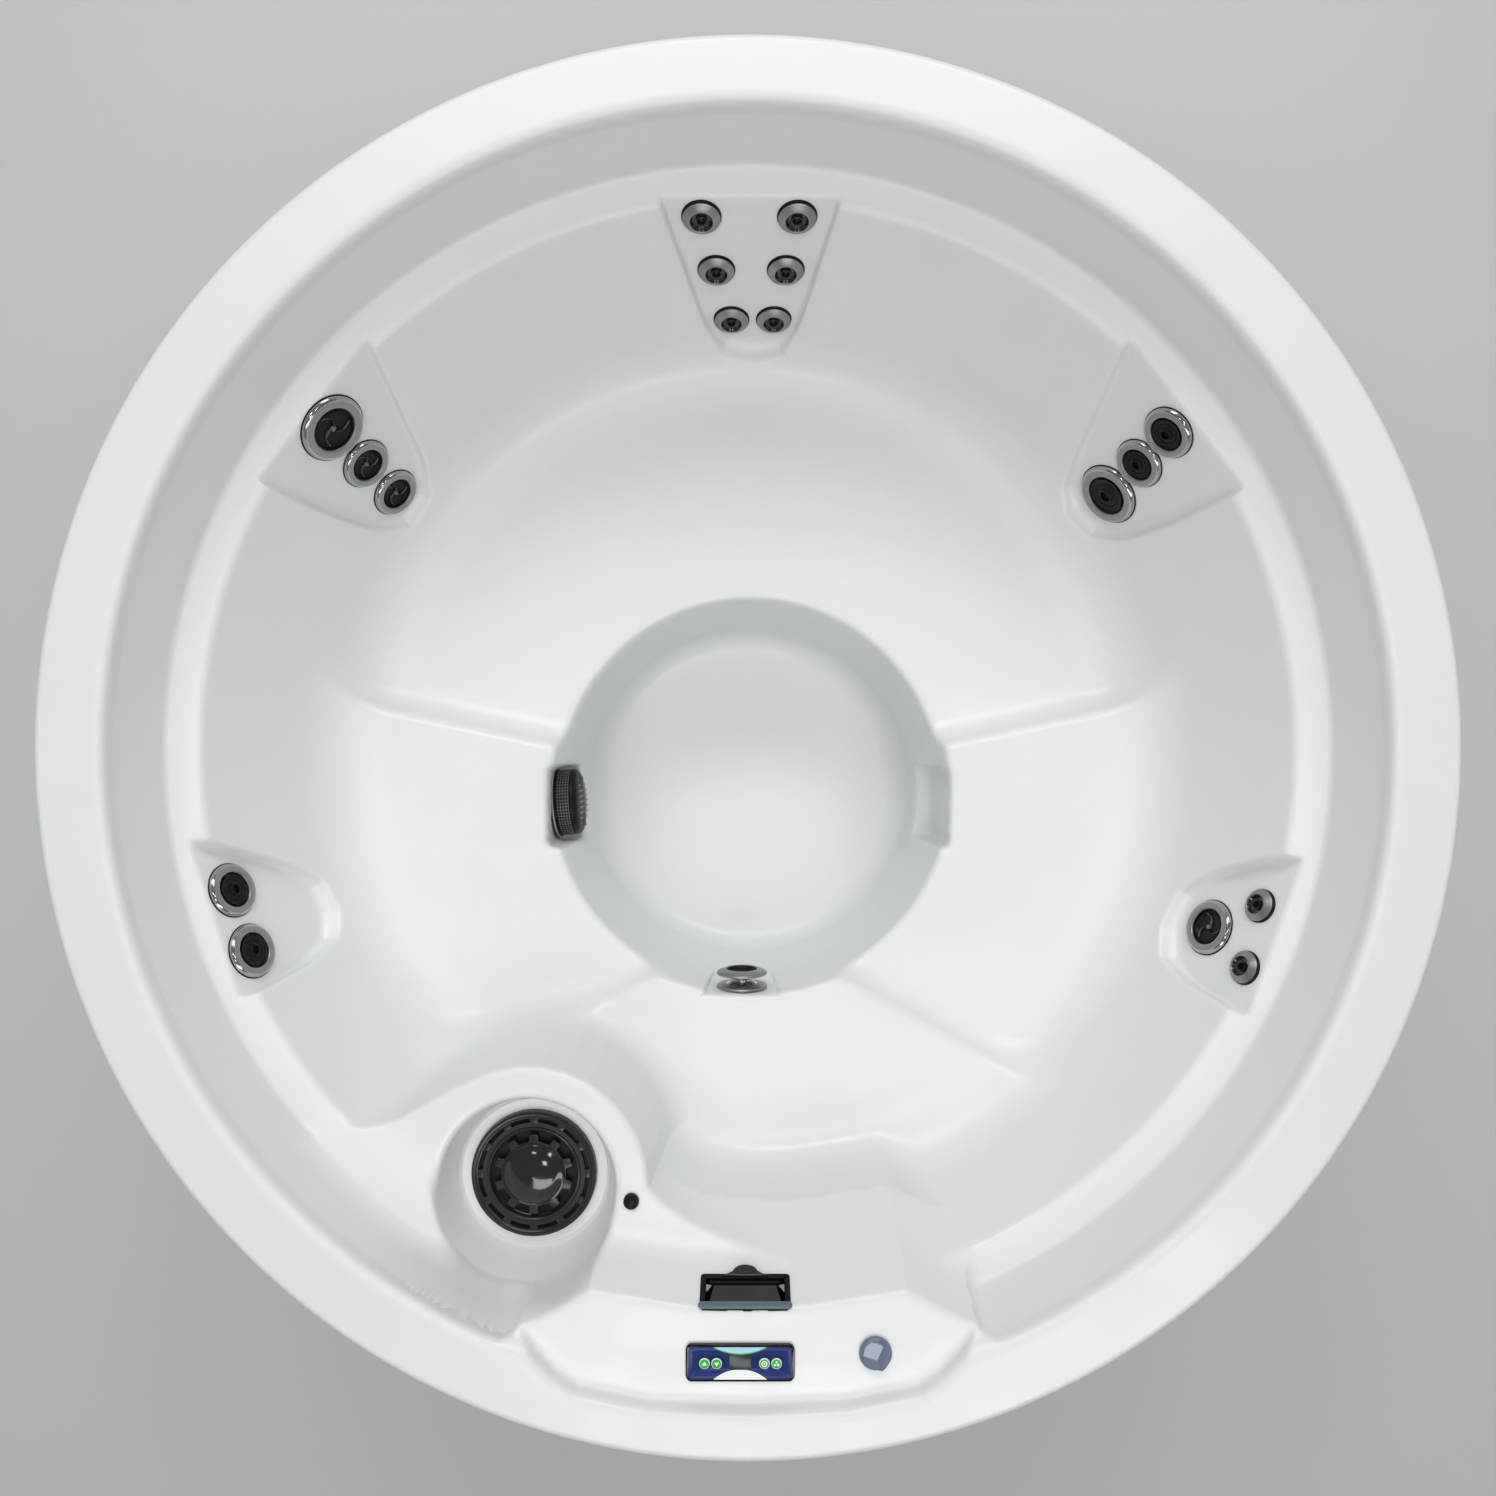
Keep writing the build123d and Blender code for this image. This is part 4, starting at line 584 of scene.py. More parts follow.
def scaled(profile, radius):
    """A profile whose radii are shares of this radius. The axis keeps a hair's width."""
    return [(max(0.01, radius * share), height) for share, height in profile]


def closed_up():
    """Turns every face outward and leaves edit mode."""
    bpy.ops.mesh.select_all(action="SELECT")
    bpy.ops.mesh.normals_make_consistent(inside=False)
    bpy.ops.object.mode_set(mode="OBJECT")


def risen(name, corners, rise):
    """A face through (x, y, height) corners, drawn out by a rise in millimetres, in edit mode."""
    mesh = bpy.data.meshes.new(name)
    points = [tuple(v * MM for v in corner) for corner in corners]
    mesh.from_pydata(points, [], [list(range(len(points)))])
    made = started(name, mesh)
    bpy.ops.object.mode_set(mode="EDIT")
    bpy.ops.mesh.select_all(action="SELECT")
    bpy.ops.mesh.extrude_region_move(TRANSFORM_OT_translate={"value": (0, 0, rise * MM)})
    return made


def spun(name, profile, finish, place=Matrix(), steps=72, smooth=40):
    """Spins an open or closed line of (radius, height) points, in millimetres, about its own Z."""
    mesh = bpy.data.meshes.new(name)
    edges = [(i, i + 1) for i in range(len(profile) - 1)]
    mesh.from_pydata([(r * MM, 0, h * MM) for r, h in profile], edges, [])
    made = started(name, mesh)
    bpy.ops.object.mode_set(mode="EDIT")
    bpy.ops.mesh.select_all(action="SELECT")
    bpy.ops.mesh.spin(steps=steps, angle=2 * math.pi, center=(0, 0, 0), axis=(0, 0, 1))
    bpy.ops.mesh.select_all(action="SELECT")
    bpy.ops.mesh.remove_doubles(threshold=1e-6)
    closed_up()
    return dressed(made, finish, place, smooth)


def plate(name, outline, low, high, finish, place=Matrix(), bevel=0.0, smooth=35):
    """Extrudes a flat outline, in millimetres, from low to high, and bevels its edges."""
    made = risen(name, [(x, y, low) for x, y in outline], high - low)
    closed_up()
    if bevel:
        rounding = made.modifiers.new("edges", "BEVEL")
        rounding.width = bevel * MM
        rounding.segments = 3
        rounding.limit_method = "ANGLE"
        rounding.angle_limit = math.radians(40)
        bpy.ops.object.modifier_apply(modifier=rounding.name)
    return dressed(made, finish, place, smooth)


def dressed(made, finish, place, smooth):
    """Smooths, paints and places a finished part of a piece."""
    bpy.ops.object.shade_smooth_by_angle(angle=math.radians(smooth))
    made.data.materials.append(finishes()[finish])
    made.data.transform(place)
    return made


def joined(name, parts, body, replaced):
    """Joins the parts into one named piece."""
    deselect()
    for part in parts:
        part.select_set(True)
    bpy.context.view_layer.objects.active = parts[0]
    if len(parts) > 1:
        bpy.ops.object.join()
    piece = parts[0]
    piece.name = name
    piece.data.name = name
    tied(piece, body, replaced)


def place_at(origin, sideways, normal):
    """The matrix that sets a part modelled about Z at a place, in millimetres, facing its normal."""
    z = Vector(normal).normalized()
    x = Vector(sideways).normalized()
    y = z.cross(x)
    turn = Matrix((x, y, z)).transposed().to_4x4()
    return Matrix.Translation(Vector(origin) * MM) @ turn


def facet_place(facet, spot):
    """The place of a jet on its facet."""
    origin, u, v, n = facet_frame(*FACETS[facet][:2])
    return place_at(origin + u * spot[0] + v * spot[1], u, n)


def circle(radius, count):
    """Points round a circle."""
    turns = [2 * math.pi * k / count for k in range(count)]
    return [(radius * math.cos(turn), radius * math.sin(turn)) for turn in turns]


def rounded_box(width, depth, corner, centre=(0, 0), count=8):
    """Points round a rectangle with rounded corners."""
    points = []
    for k, (sx, sy) in enumerate(((1, 1), (-1, 1), (-1, -1), (1, -1))):
        for step in range(count + 1):
            turn = math.pi / 2 * (k + step / count)
            points.append((
                centre[0] + sx * (width / 2 - corner) + corner * math.cos(turn),
                centre[1] + sy * (depth / 2 - corner) + corner * math.sin(turn),
            ))
    return points


class HotTubSizes(bpy.types.PropertyGroup):
    ring_spacing: FloatProperty(
        name="Shell mesh spacing", description="Distance between the shell's mesh rings at the rim",
        default=0.0042, min=0.002, unit="LENGTH",
    )
    ring_count: IntProperty(name="Shell mesh columns", description="Faces round the rim", default=1280, min=64)
    key_power: FloatProperty(
        name="Key light", description="Power of the three lamps", default=145.0, unit="POWER",
    )
    ceiling_power: FloatProperty(
        name="Ceiling light", description="Power of the wide lamp", default=94.0, unit="POWER",
    )
    floor_colour: FloatVectorProperty(
        name="Floor colour", description="Pale studio floor", subtype="COLOR", size=3, default=(0.62, 0.62, 0.61),
    )


class HOTTUB_OT_finishes(bpy.types.Operator):
    """Gives every solid of the tub its finish"""
    bl_idname = "hottub.finishes"
    bl_label = "Finishes"

    def execute(self, context):
        made = finishes()
        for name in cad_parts:
            solid = bpy.data.objects[name]
            solid.data.materials.clear()
            solid.data.materials.append(made[cad_finish(name)])
        return {"FINISHED"}


class HOTTUB_OT_shell(bpy.types.Operator):
    """Forms the moulded shell: rim, seats, footwell and filter well"""
    bl_idname = "hottub.shell"
    bl_label = "Shell"

    def execute(self, context):
        sizes = context.scene.hot_tub
        spacing, around = sizes.ring_spacing / MM, sizes.ring_count
        corner = RIM_OUTER - RIM_ROLL
        flat = RIM_INNER + 26
        radii = list(np.linspace(corner, flat, 8))
        outer_reach = LEDGE_INNER * VIEW_HEIGHT / (VIEW_HEIGHT + LEDGE_DEPTH) - 10
        radii += list(np.arange(flat - spacing, outer_reach, -spacing))
        first_split = len(radii)
        inner_reach = 455
        radii += list(np.arange(radii[-1] - spacing, inner_reach, -spacing))
        second_split = len(radii)
        radii += list(np.arange(radii[-1] - spacing * 1.1, spacing * 3, -spacing * 1.1))
        rings, counts = [], []
        off = np.array([5.0, -60.0])
        for k, radius in enumerate(radii):
            count = around if k < second_split else around // 2
            if radius < 130:
                count = around // 4
            slide = float(np.clip((470 - radius) / 230, 0, 1))
            rings.append(ring_sights(radius, count, off * slide))
            counts.append(count)
        rings = met_sights(rings)
        meet_edges(rings)
        rings = [shell_points(ring) for ring in rings]
        turn = np.arange(around) * 2 * math.pi / around
        lip = []
        for angle in np.linspace(0, math.pi / 2, 6)[1:]:
            lip.append((corner + RIM_ROLL * math.sin(angle), RIM_ROLL * (1 - math.cos(angle))))
        inside = RIM_OUTER - SHELL_WALL
        lip += [(RIM_OUTER, RIM_LIP), (inside, RIM_LIP), (inside, RIM_ROLL + SHELL_WALL)]
        edge = [
            np.stack((r * np.cos(turn), r * np.sin(turn), np.full(around, TUB_HEIGHT - t)), axis=1)
            for r, t in lip
        ]
        edge.reverse()
        well = well_rings(around // 4)
        parts = (
            ("shell_rim", edge + rings[:first_split + 1], [around] * len(edge) + counts[:first_split + 1], False),
            ("shell_seats", rings[first_split:second_split + 1], counts[first_split:second_split + 1], False),
            ("shell_footwell", rings[second_split:], counts[second_split:], True),
            ("shell_well", well, [len(ring) for ring in well], True),
        )
        for name, some, how_many, closed in parts:
            mesh, points, used = ringed_mesh(name, some, how_many, closed)
            for face in mesh.polygons:
                face.use_smooth = True
            normals = shell_normals(points)
            if name == "shell_rim":
                normals = self.edge_normals(points, normals, len(edge) * around, around)
            mesh.normals_split_custom_set_from_vertices(normals[used].tolist())
            add_piece(name, mesh, "tub", "acrylic", ("shell",))
        return {"FINISHED"}

    def edge_normals(self, points, normals, edge_count, around):
        """The rolled lip is outside the hollow, so its normals come from the roll itself."""
        out = points[:, :2] / np.linalg.norm(points[:, :2], axis=1, keepdims=True)
        reach = np.linalg.norm(points[:, :2], axis=1)
        depth = TUB_HEIGHT - points[:, 2]
        slant = np.clip((reach - (RIM_OUTER - RIM_ROLL)) / RIM_ROLL, 0, 1)
        slant[depth > RIM_ROLL] = 1
        up = np.sqrt(1 - slant ** 2)
        made = np.stack((out[:, 0] * slant, out[:, 1] * slant, up), axis=1)
        inner = (depth > RIM_ROLL) & (reach < RIM_OUTER - 1)
        made[inner] *= -1
        normals = normals.copy()
        normals[:edge_count + around] = made[:edge_count + around]
        return normals


# Jets: facet, place on it, ring radius and kind, in the order of their numbers
JETS = {
    "back": (((-72, -40), (76, -40), (-52, -148), (62, -148), (-29, -262), (45, -262)), (30.8,) * 6, "micro"),
    "upper_left": (((0, -57), (-13, -156), (-22, -249)), (54, 42, 42), "swirl"),
    "upper_right": (((9, -55), (20, -140), (31, -238)), (42, 42, 54), "aim"),
    "lower_left": (((39, -52), (-60, -52)), (42, 42), "aim"),
    "lower_right": (((23, -132), (-36, -50), (62, -38)), (45, 26.5, 26.5), "swirl"),
}


def ring_trim(radius, place):
    """The ring: a flat satin face, a polished rolled bevel and a thin black band that shows just past its edge all
    round.
    """
    face = ((0.655, 0.5), (0.655, 6.2), (0.67, 7.4), (0.69, 8.2), (0.72, 8.5), (0.86, 8.3), (0.885, 8.1))
    bevel = (
        (0.885, 8.1), (0.905, 8.2), (0.93, 7.6), (0.965, 5.9), (0.99, 3.6), (1.0, 1.6), (1.0, 0.5), (0.95, 0.5),
    )
    dark_edge = ((0.98, 0.05), (1.028, 0.15), (1.028, 1.3), (0.99, 1.6))
    return [
        spun(name, scaled(profile, radius), finish, place, 96)
        for name, profile, finish in (
            ("face", face, "satin"), ("bevel", bevel, "bright"), ("dark_edge", dark_edge, "black"),
        )
    ]


def dark_seat(radius, place, kind):
    """The black socket inside a ring, with a thin raised edge: black plastic, and painted shade for the deep throat
    of the jet. An aimed ball closes its own.
    """
    edge = ((0.652, 0.4), (0.652, 5.4), (0.635, 6.4))
    if kind == "aim":
        inside = ((0.615, 5.8), (0.605, 4.2), (0.605, 0.4))
    else:
        inside = ((0.61, 5.6), (0.592, 0.9), (0.30, 0.7), (0, 0.6))
    return spun("dark_seat", scaled(edge + inside, radius), "black", place)


# Height of the point about which an aimed nozzle tilts, over its facet
BALL_PIVOT = 2.5


class HOTTUB_OT_jets(bpy.types.Operator):
    """Makes every massage jet: rings, eyeballs, swirling inserts and aimed nozzles"""
    bl_idname = "hottub.jets"
    bl_label = "Jets"

    def execute(self, context):
        for facet, (spots, sizes, kind) in JETS.items():
            for number, (spot, radius) in enumerate(zip(spots, sizes), start=1):
                name = "%s_jet_%d" % (facet, number)
                place = facet_place(facet, spot)
                if kind == "micro" or radius < 30:
                    self.micro(name, radius, place)
                    continue
                parts = ring_trim(radius, place) + [dark_seat(radius, place, kind)]
                joined(name + "_trim", parts, name + "_ring", (name + "_ring",))
                if kind == "swirl":
                    self.swirl(name, radius * 0.575, place)
                else:
                    self.cone(name, radius * 0.59, place)
        return {"FINISHED"}

    def micro(self, name, radius, place):
        """A small eyeball jet: a satin cone leaning to its black eye, on a thin black skirt that shows just past its
        edge.
        """
        lean = -0.07 * radius * MM
        skirt = ((1.018, 0.1), (1.018, 1.0), (1.0, 1.6), (0.985, 3.2), (0.955, 4.6))
        cone = ((0.955, 4.6), (0.93, 5.2), (0.83, 7.2), (0.73, 9.2), (0.65, 10.6), (0.61, 11.0), (0.585, 10.4))
        eye = (
            (0.585, 10.4), (0.57, 10.8), (0.55, 10.2), (0.50, 7.0), (0.46, 5.4), (0.30, 4.6), (0.27, 7.6),
            (0.24, 7.8), (0.2, 1.0), (0, 0.8),
        )
        parts = []
        for part, profile, finish in (("skirt", skirt, "black"), ("cone", cone, "satin"), ("eye", eye, "gloss")):
            made = spun(part, scaled(profile, radius), finish)
            for vertex in made.data.vertices:
                vertex.co.y += lean * (1.0 if part == "eye" else min(1.0, vertex.co.z / (11 * MM)))
            made.data.transform(place)
            parts.append(made)
        joined(name + "_eyeball", parts, name, (name,))

    def swirl(self, name, radius, place):
        """A three-armed insert: thin curved arms over a deep black bowl."""
        bowl = ((1.0, 0.8), (1.0, 4.4), (0.96, 5.0), (0.92, 4.2), (0.86, 1.6), (0.5, 1.0), (0, 0.9))
        parts = [spun("bowl", scaled(bowl, radius), "black", place, 64)]
        hub = ((0.15, 0.9), (0.15, 3.6), (0.1, 4.8), (0, 5.0))
        parts.append(spun("hub", scaled(hub, radius), "grey", place, 32))
        for arm in range(3):
            sweep = []
            for side in (1, -1):
                shares = [k / 14 for k in range(15)]
                for share in shares if side > 0 else reversed(shares):
                    turn = 2 * math.pi * arm / 3 + 0.4 + 1.25 * share ** 1.3
                    reach = radius * (0.06 + 0.88 * share)
                    off = side * radius * 0.03 * (1 + share)
                    sweep.append((
                        reach * math.cos(turn) - off * math.sin(turn - 0.7),
                        reach * math.sin(turn) + off * math.cos(turn - 0.7),
                    ))
            parts.append(plate("arm", sweep, 0.9, 4.2, "grey", place, 0.5))
        joined(name + "_swirl", parts, name + "_rotor", (name + "_rotor",))

    def cone(self, name, radius, place):
        """A black ball in its socket, stepped rings on its face, and a small round nozzle."""
        band = [(math.cos(a), BALL_PIVOT + radius * math.sin(a)) for a in np.linspace(-0.5, 0.16, 8)]
        face = (
            (0.93, 7.0), (0.90, 6.2), (0.72, 5.6), (0.68, 7.0), (0.64, 7.2), (0.60, 5.8), (0.42, 6.4),
            (0.38, 8.6), (0.34, 9.2), (0.29, 9.0), (0.25, 3.4), (0, 3.0),
        )
        parts = [spun("ball", scaled(tuple(band) + face, radius), "black", place, 72, 30)]
        joined(name + "_cone", parts, name + "_nozzle", (name + "_nozzle",))


# Footwell fittings: the middles of their feet on the wall
FOOT_JET = (PAD_X, PAD_Y, 422)
SUCTION = (-369, RECESS_Y, 268)


class HOTTUB_OT_footwell_fittings(bpy.types.Operator):
    """Makes the footwell's jet and the suction guard"""
    bl_idname = "hottub.footwell_fittings"
    bl_label = "Footwell fittings"

    def execute(self, context):
        wall = place_at(FOOT_JET, (1, 0, 0), (0, 1, 0))
        flange = ((45, 0.3), (45, 2.4), (43.5, 4.6), (39, 6.2), (33, 6.8), (28, 7.2))
        neck = ((28, 7.2), (25, 8.4), (21, 10.6), (18.6, 13.4), (18.2, 16), (19.6, 18.6), (13.5, 19.0))
        parts = [spun("flange", flange, "satin", wall, 96, 50), spun("neck", neck, "bright", wall, 96, 50)]
        joined("foot_jet_flange", parts, "tub", ("foot_jet_body",))
        back = ((13.5, 19.2), (22, 19.8), (32, 21.4), (41, 22.6), (44.4, 23.8))
        ring = (
            (44.4, 23.8), (45.2, 25.2), (44.6, 27.0), (42, 28.8), (36, 31.2), (30.5, 33.2), (28.4, 33.3),
            (27.2, 32.2),
        )
        bowl = ((27.2, 32.2), (26.4, 29), (22, 25.6), (15.2, 24.4), (0.01, 24.0))
        parts = [
            spun("back", back, "bright", wall, 96, 50), spun("ring", ring, "satin", wall, 96, 50),
            spun("bowl", bowl, "black", wall, 64),
        ]
        joined("foot_jet_ring", parts, "foot_jet_nozzle", ("foot_jet_nozzle",))
        side = place_at(SUCTION, (-0.07, 1, 0), (1, 0.07, 0))
        collar = ((66, 0.2), (69, 0.4), (70, 2.0), (69, 3.6), (66, 4.2), (64, 4.0))
        parts = [spun("collar", collar, "bright", side, 96, 50)]
        joined("suction_flange", parts, "tub", ("suction_body",))
        cover = (
            (64, 4.3), (65, 5.4), (64.4, 7.2), (62.6, 8.0), (61.8, 32.0), (63.4, 34.0), (62.8, 39), (60, 43),
            (56, 45.6), (50, 47.4), (34, 49.6), (16, 50.6), (0.01, 51.0),
        )
        parts = [spun("cover", cover, "black", side, 96, 30)]
        for level in range(11, 32, 5):
            hoop = ((61.5, level - 0.9), (63.2, level - 0.6), (63.2, level + 0.6), (61.5, level + 0.9))
            parts.append(spun("hoop", hoop, "grey", side, 96))
        for k in range(64):
            turn = side @ Matrix.Rotation(2 * math.pi * k / 64, 4, "Z") @ moved(62.2, 0, 20)
            parts.append(self.bar(turn, (2.2, 1.2, 23)))
        for k in range(-5, 6):
            reach = math.sqrt(58 ** 2 - (k * 10.4) ** 2)
            high = 49.0 - 0.0020 * (k * 10.4) ** 2 - (3.0 if abs(k) == 5 else 0)
            parts.append(self.bar(side @ moved(k * 10.4, 0, high), (3.0, 1.5 * reach, 4.6)))
        parts.append(self.bar(side @ moved(0, 0, 50), (96, 3.6, 4.0)))
        joined("suction_guard", parts, "tub", ("suction_cover",))
        return {"FINISHED"}

    def bar(self, place, size):
        """A plain rib of the guard."""
        x, y, z = (v / 2 for v in size)
        return plate("bar", ((-x, -y), (x, -y), (x, y), (-x, y)), -z, z, "grey", place)


class HOTTUB_OT_filter(bpy.types.Operator):
    """Makes the filter's slotted lid, its toothed cap and the small outlet beside them"""
    bl_idname = "hottub.filter"
    bl_label = "Filter"

    def execute(self, context):
        foot = TUB_HEIGHT - LEDGE_DEPTH - WELL_DEPTH + 5.3
        base = place_at((FILTER_CENTRE[0], FILTER_CENTRE[1], foot), (1, 0, 0), (0, 0, 1))
        lid = (
            (98, 0), (98, 9), (97, 12), (94, 13.6), (91, 13.2), (89.6, 11.4), (88, 10.6), (87.2, 10.6),
            (86.8, 4), (80.6, 4), (80.2, 10.2), (73.5, 10.0), (72.2, 12.2), (70.2, 12.6), (68.8, 11.6),
            (67.6, 3), (66, 1.6), (0.01, 1.4),
        )
        parts = [spun("lid", lid, "slate", base, 128, 30)]
        for k in range(12):
            bridge = []
            for radius, side in ((79.8, -1), (87.6, -1), (87.6, 1), (79.8, 1)):
                turn = 2 * math.pi * k / 12 + side * 0.075
                bridge.append((radius * math.cos(turn), radius * math.sin(turn)))
            parts.append(plate("bridge", bridge, 3.8, 10.3, "slate", base, 0.4))
        # Black bands laid just over the floor of the lid's groove and round the cap's foot: painted shade that stands
        # for the dark depth under the slots and between the teeth
        for inner, outer, level in ((80.7, 86.7, 4.2), (39, 67.4, 2.2)):
            band = ((outer, level - 0.6), (outer, level), (inner, level), (inner, level - 0.6))
            parts.append(spun("painted_shade_band", band, "black", base, 96))
        joined("filter_lid_slotted", parts, "filter_lid", ("filter_lid",))
        teeth = []
        for k in range(10):
            for reach, half in ((50.5, -7.2), (61.6, -6.6), (61.6, 6.6), (50.5, 7.2)):
                turn = 2 * math.pi * (k + 0.5) / 10
                teeth.append((
                    reach * math.cos(turn) - half * math.sin(turn),
                    reach * math.sin(turn) + half * math.cos(turn),
                ))
        cap = (
            (49.4, 8.8), (49.2, 12.6), (48.2, 14.0), (46.6, 14.2), (45.8, 13.2), (44.8, 13.4), (41, 15.6),
            (33, 18.4), (22, 20.6), (10, 21.8), (0.01, 22.2),
        )
        parts = [plate("gear", teeth, 5.2, 12.4, "slate", base, 0.9), spun("dome", cap, "gloss", base, 96, 30)]
        joined("filter_cap_toothed", parts, "filter_cap", ("filter_cap",))
        spot = place_at((-176, -683, TUB_HEIGHT - LEDGE_DEPTH), (1, 0, 0), (0, 0, 1))
        outlet = (
            (11.7, -6), (11.7, 1.8), (10.8, 3.2), (8.6, 3.8), (7.6, 3.0), (6.2, 2.2), (4.4, 2.4), (3.6, 3.4),
            (0.01, 3.7),
        )
        parts = [spun("outlet", outlet, "black", spot, 48, 30)]
        joined("outlet_button", parts, "tub", ("ozone_fitting",))
        return {"FINISHED"}


class HOTTUB_OT_spout(bpy.types.Operator):
    """Makes the waterfall's open mouth with its ramp, gussets, nub and lip"""
    bl_idname = "hottub.spout"
    bl_label = "Waterfall spout"

    def execute(self, context):
        place = place_at(SPOUT, (1, 0, 0), SPOUT_NORMAL)
        parts = [self.tray(rounded_box(129, 55, 5), place)]
        ramp = ((-45, 14, -4), (45, 14, -4), (56, -19, -20), (-56, -19, -20))
        parts.append(self.slab("ramp", ramp, place, "black"))
        for side in (-1, 1):
            gusset = ((side * 48, 13, -3), (side * 56.3, 13.5, -1), (side * 56.3, 3, -4))
            parts.append(self.slab("gusset", gusset, place, "satin"))
        parts.append(plate("brow", rounded_box(104, 4, 1.8, (0, 17)), -14, 0.6, "black", place, 1.2))
        bell = ((-34, 23), (-24, 27.5), (-18.5, 31), (-15.5, 36), (-10, 40), (0, 41.5))
        bell += tuple((-x, y) for x, y in reversed(bell[:-1]))
        parts.append(plate("nub", bell, 0.3, 6.2, "gloss", place, 1.8))
        face = [(0.62 * x, 32.5 + 0.36 * y) for x, y in circle(21, 32)]
        parts.append(plate("nub_face", face, 5.6, 7.2, "slate", place, 0.6))
        strip = rounded_box(133, 11, 5.2, (0, -24.5))
        strip = [(x, y - 1.4 * (1 - (x / 66.5) ** 2)) for x, y in strip]
        parts.append(plate("lip", strip, 2.6, 6.2, "lip", place, 1.5))
        parts.append(plate("duct", rounded_box(90, 16, 2, (0, -10)), -50, -26, "black", place))
        joined("waterfall_mouth", parts, "tub", ("waterfall_spout",))
        return {"FINISHED"}

    def tray(self, outline, place):
        """The mouth itself: an open box with a wide rim."""
        made = risen("tray", [(x, y, -27) for x, y in outline], 30)
        bpy.ops.mesh.inset(thickness=7.5 * MM)
        bpy.ops.mesh.extrude_region_move(TRANSFORM_OT_translate={"value": (0, 0, -27 * MM)})
        closed_up()
        return dressed(made, "black", place, 30)

    def slab(self, name, corners, place, finish):
        """A sloping plate through three or four (x, y, height) corners, a little thick."""
        made = risen(name, corners, -2.5)
        closed_up()
        return dressed(made, finish, place, 30)


# Control panel's keys: their places along it, and the radius of their holes
KEYS = (-50, -33, 34, 51)
KEY_HOLE = 7.95


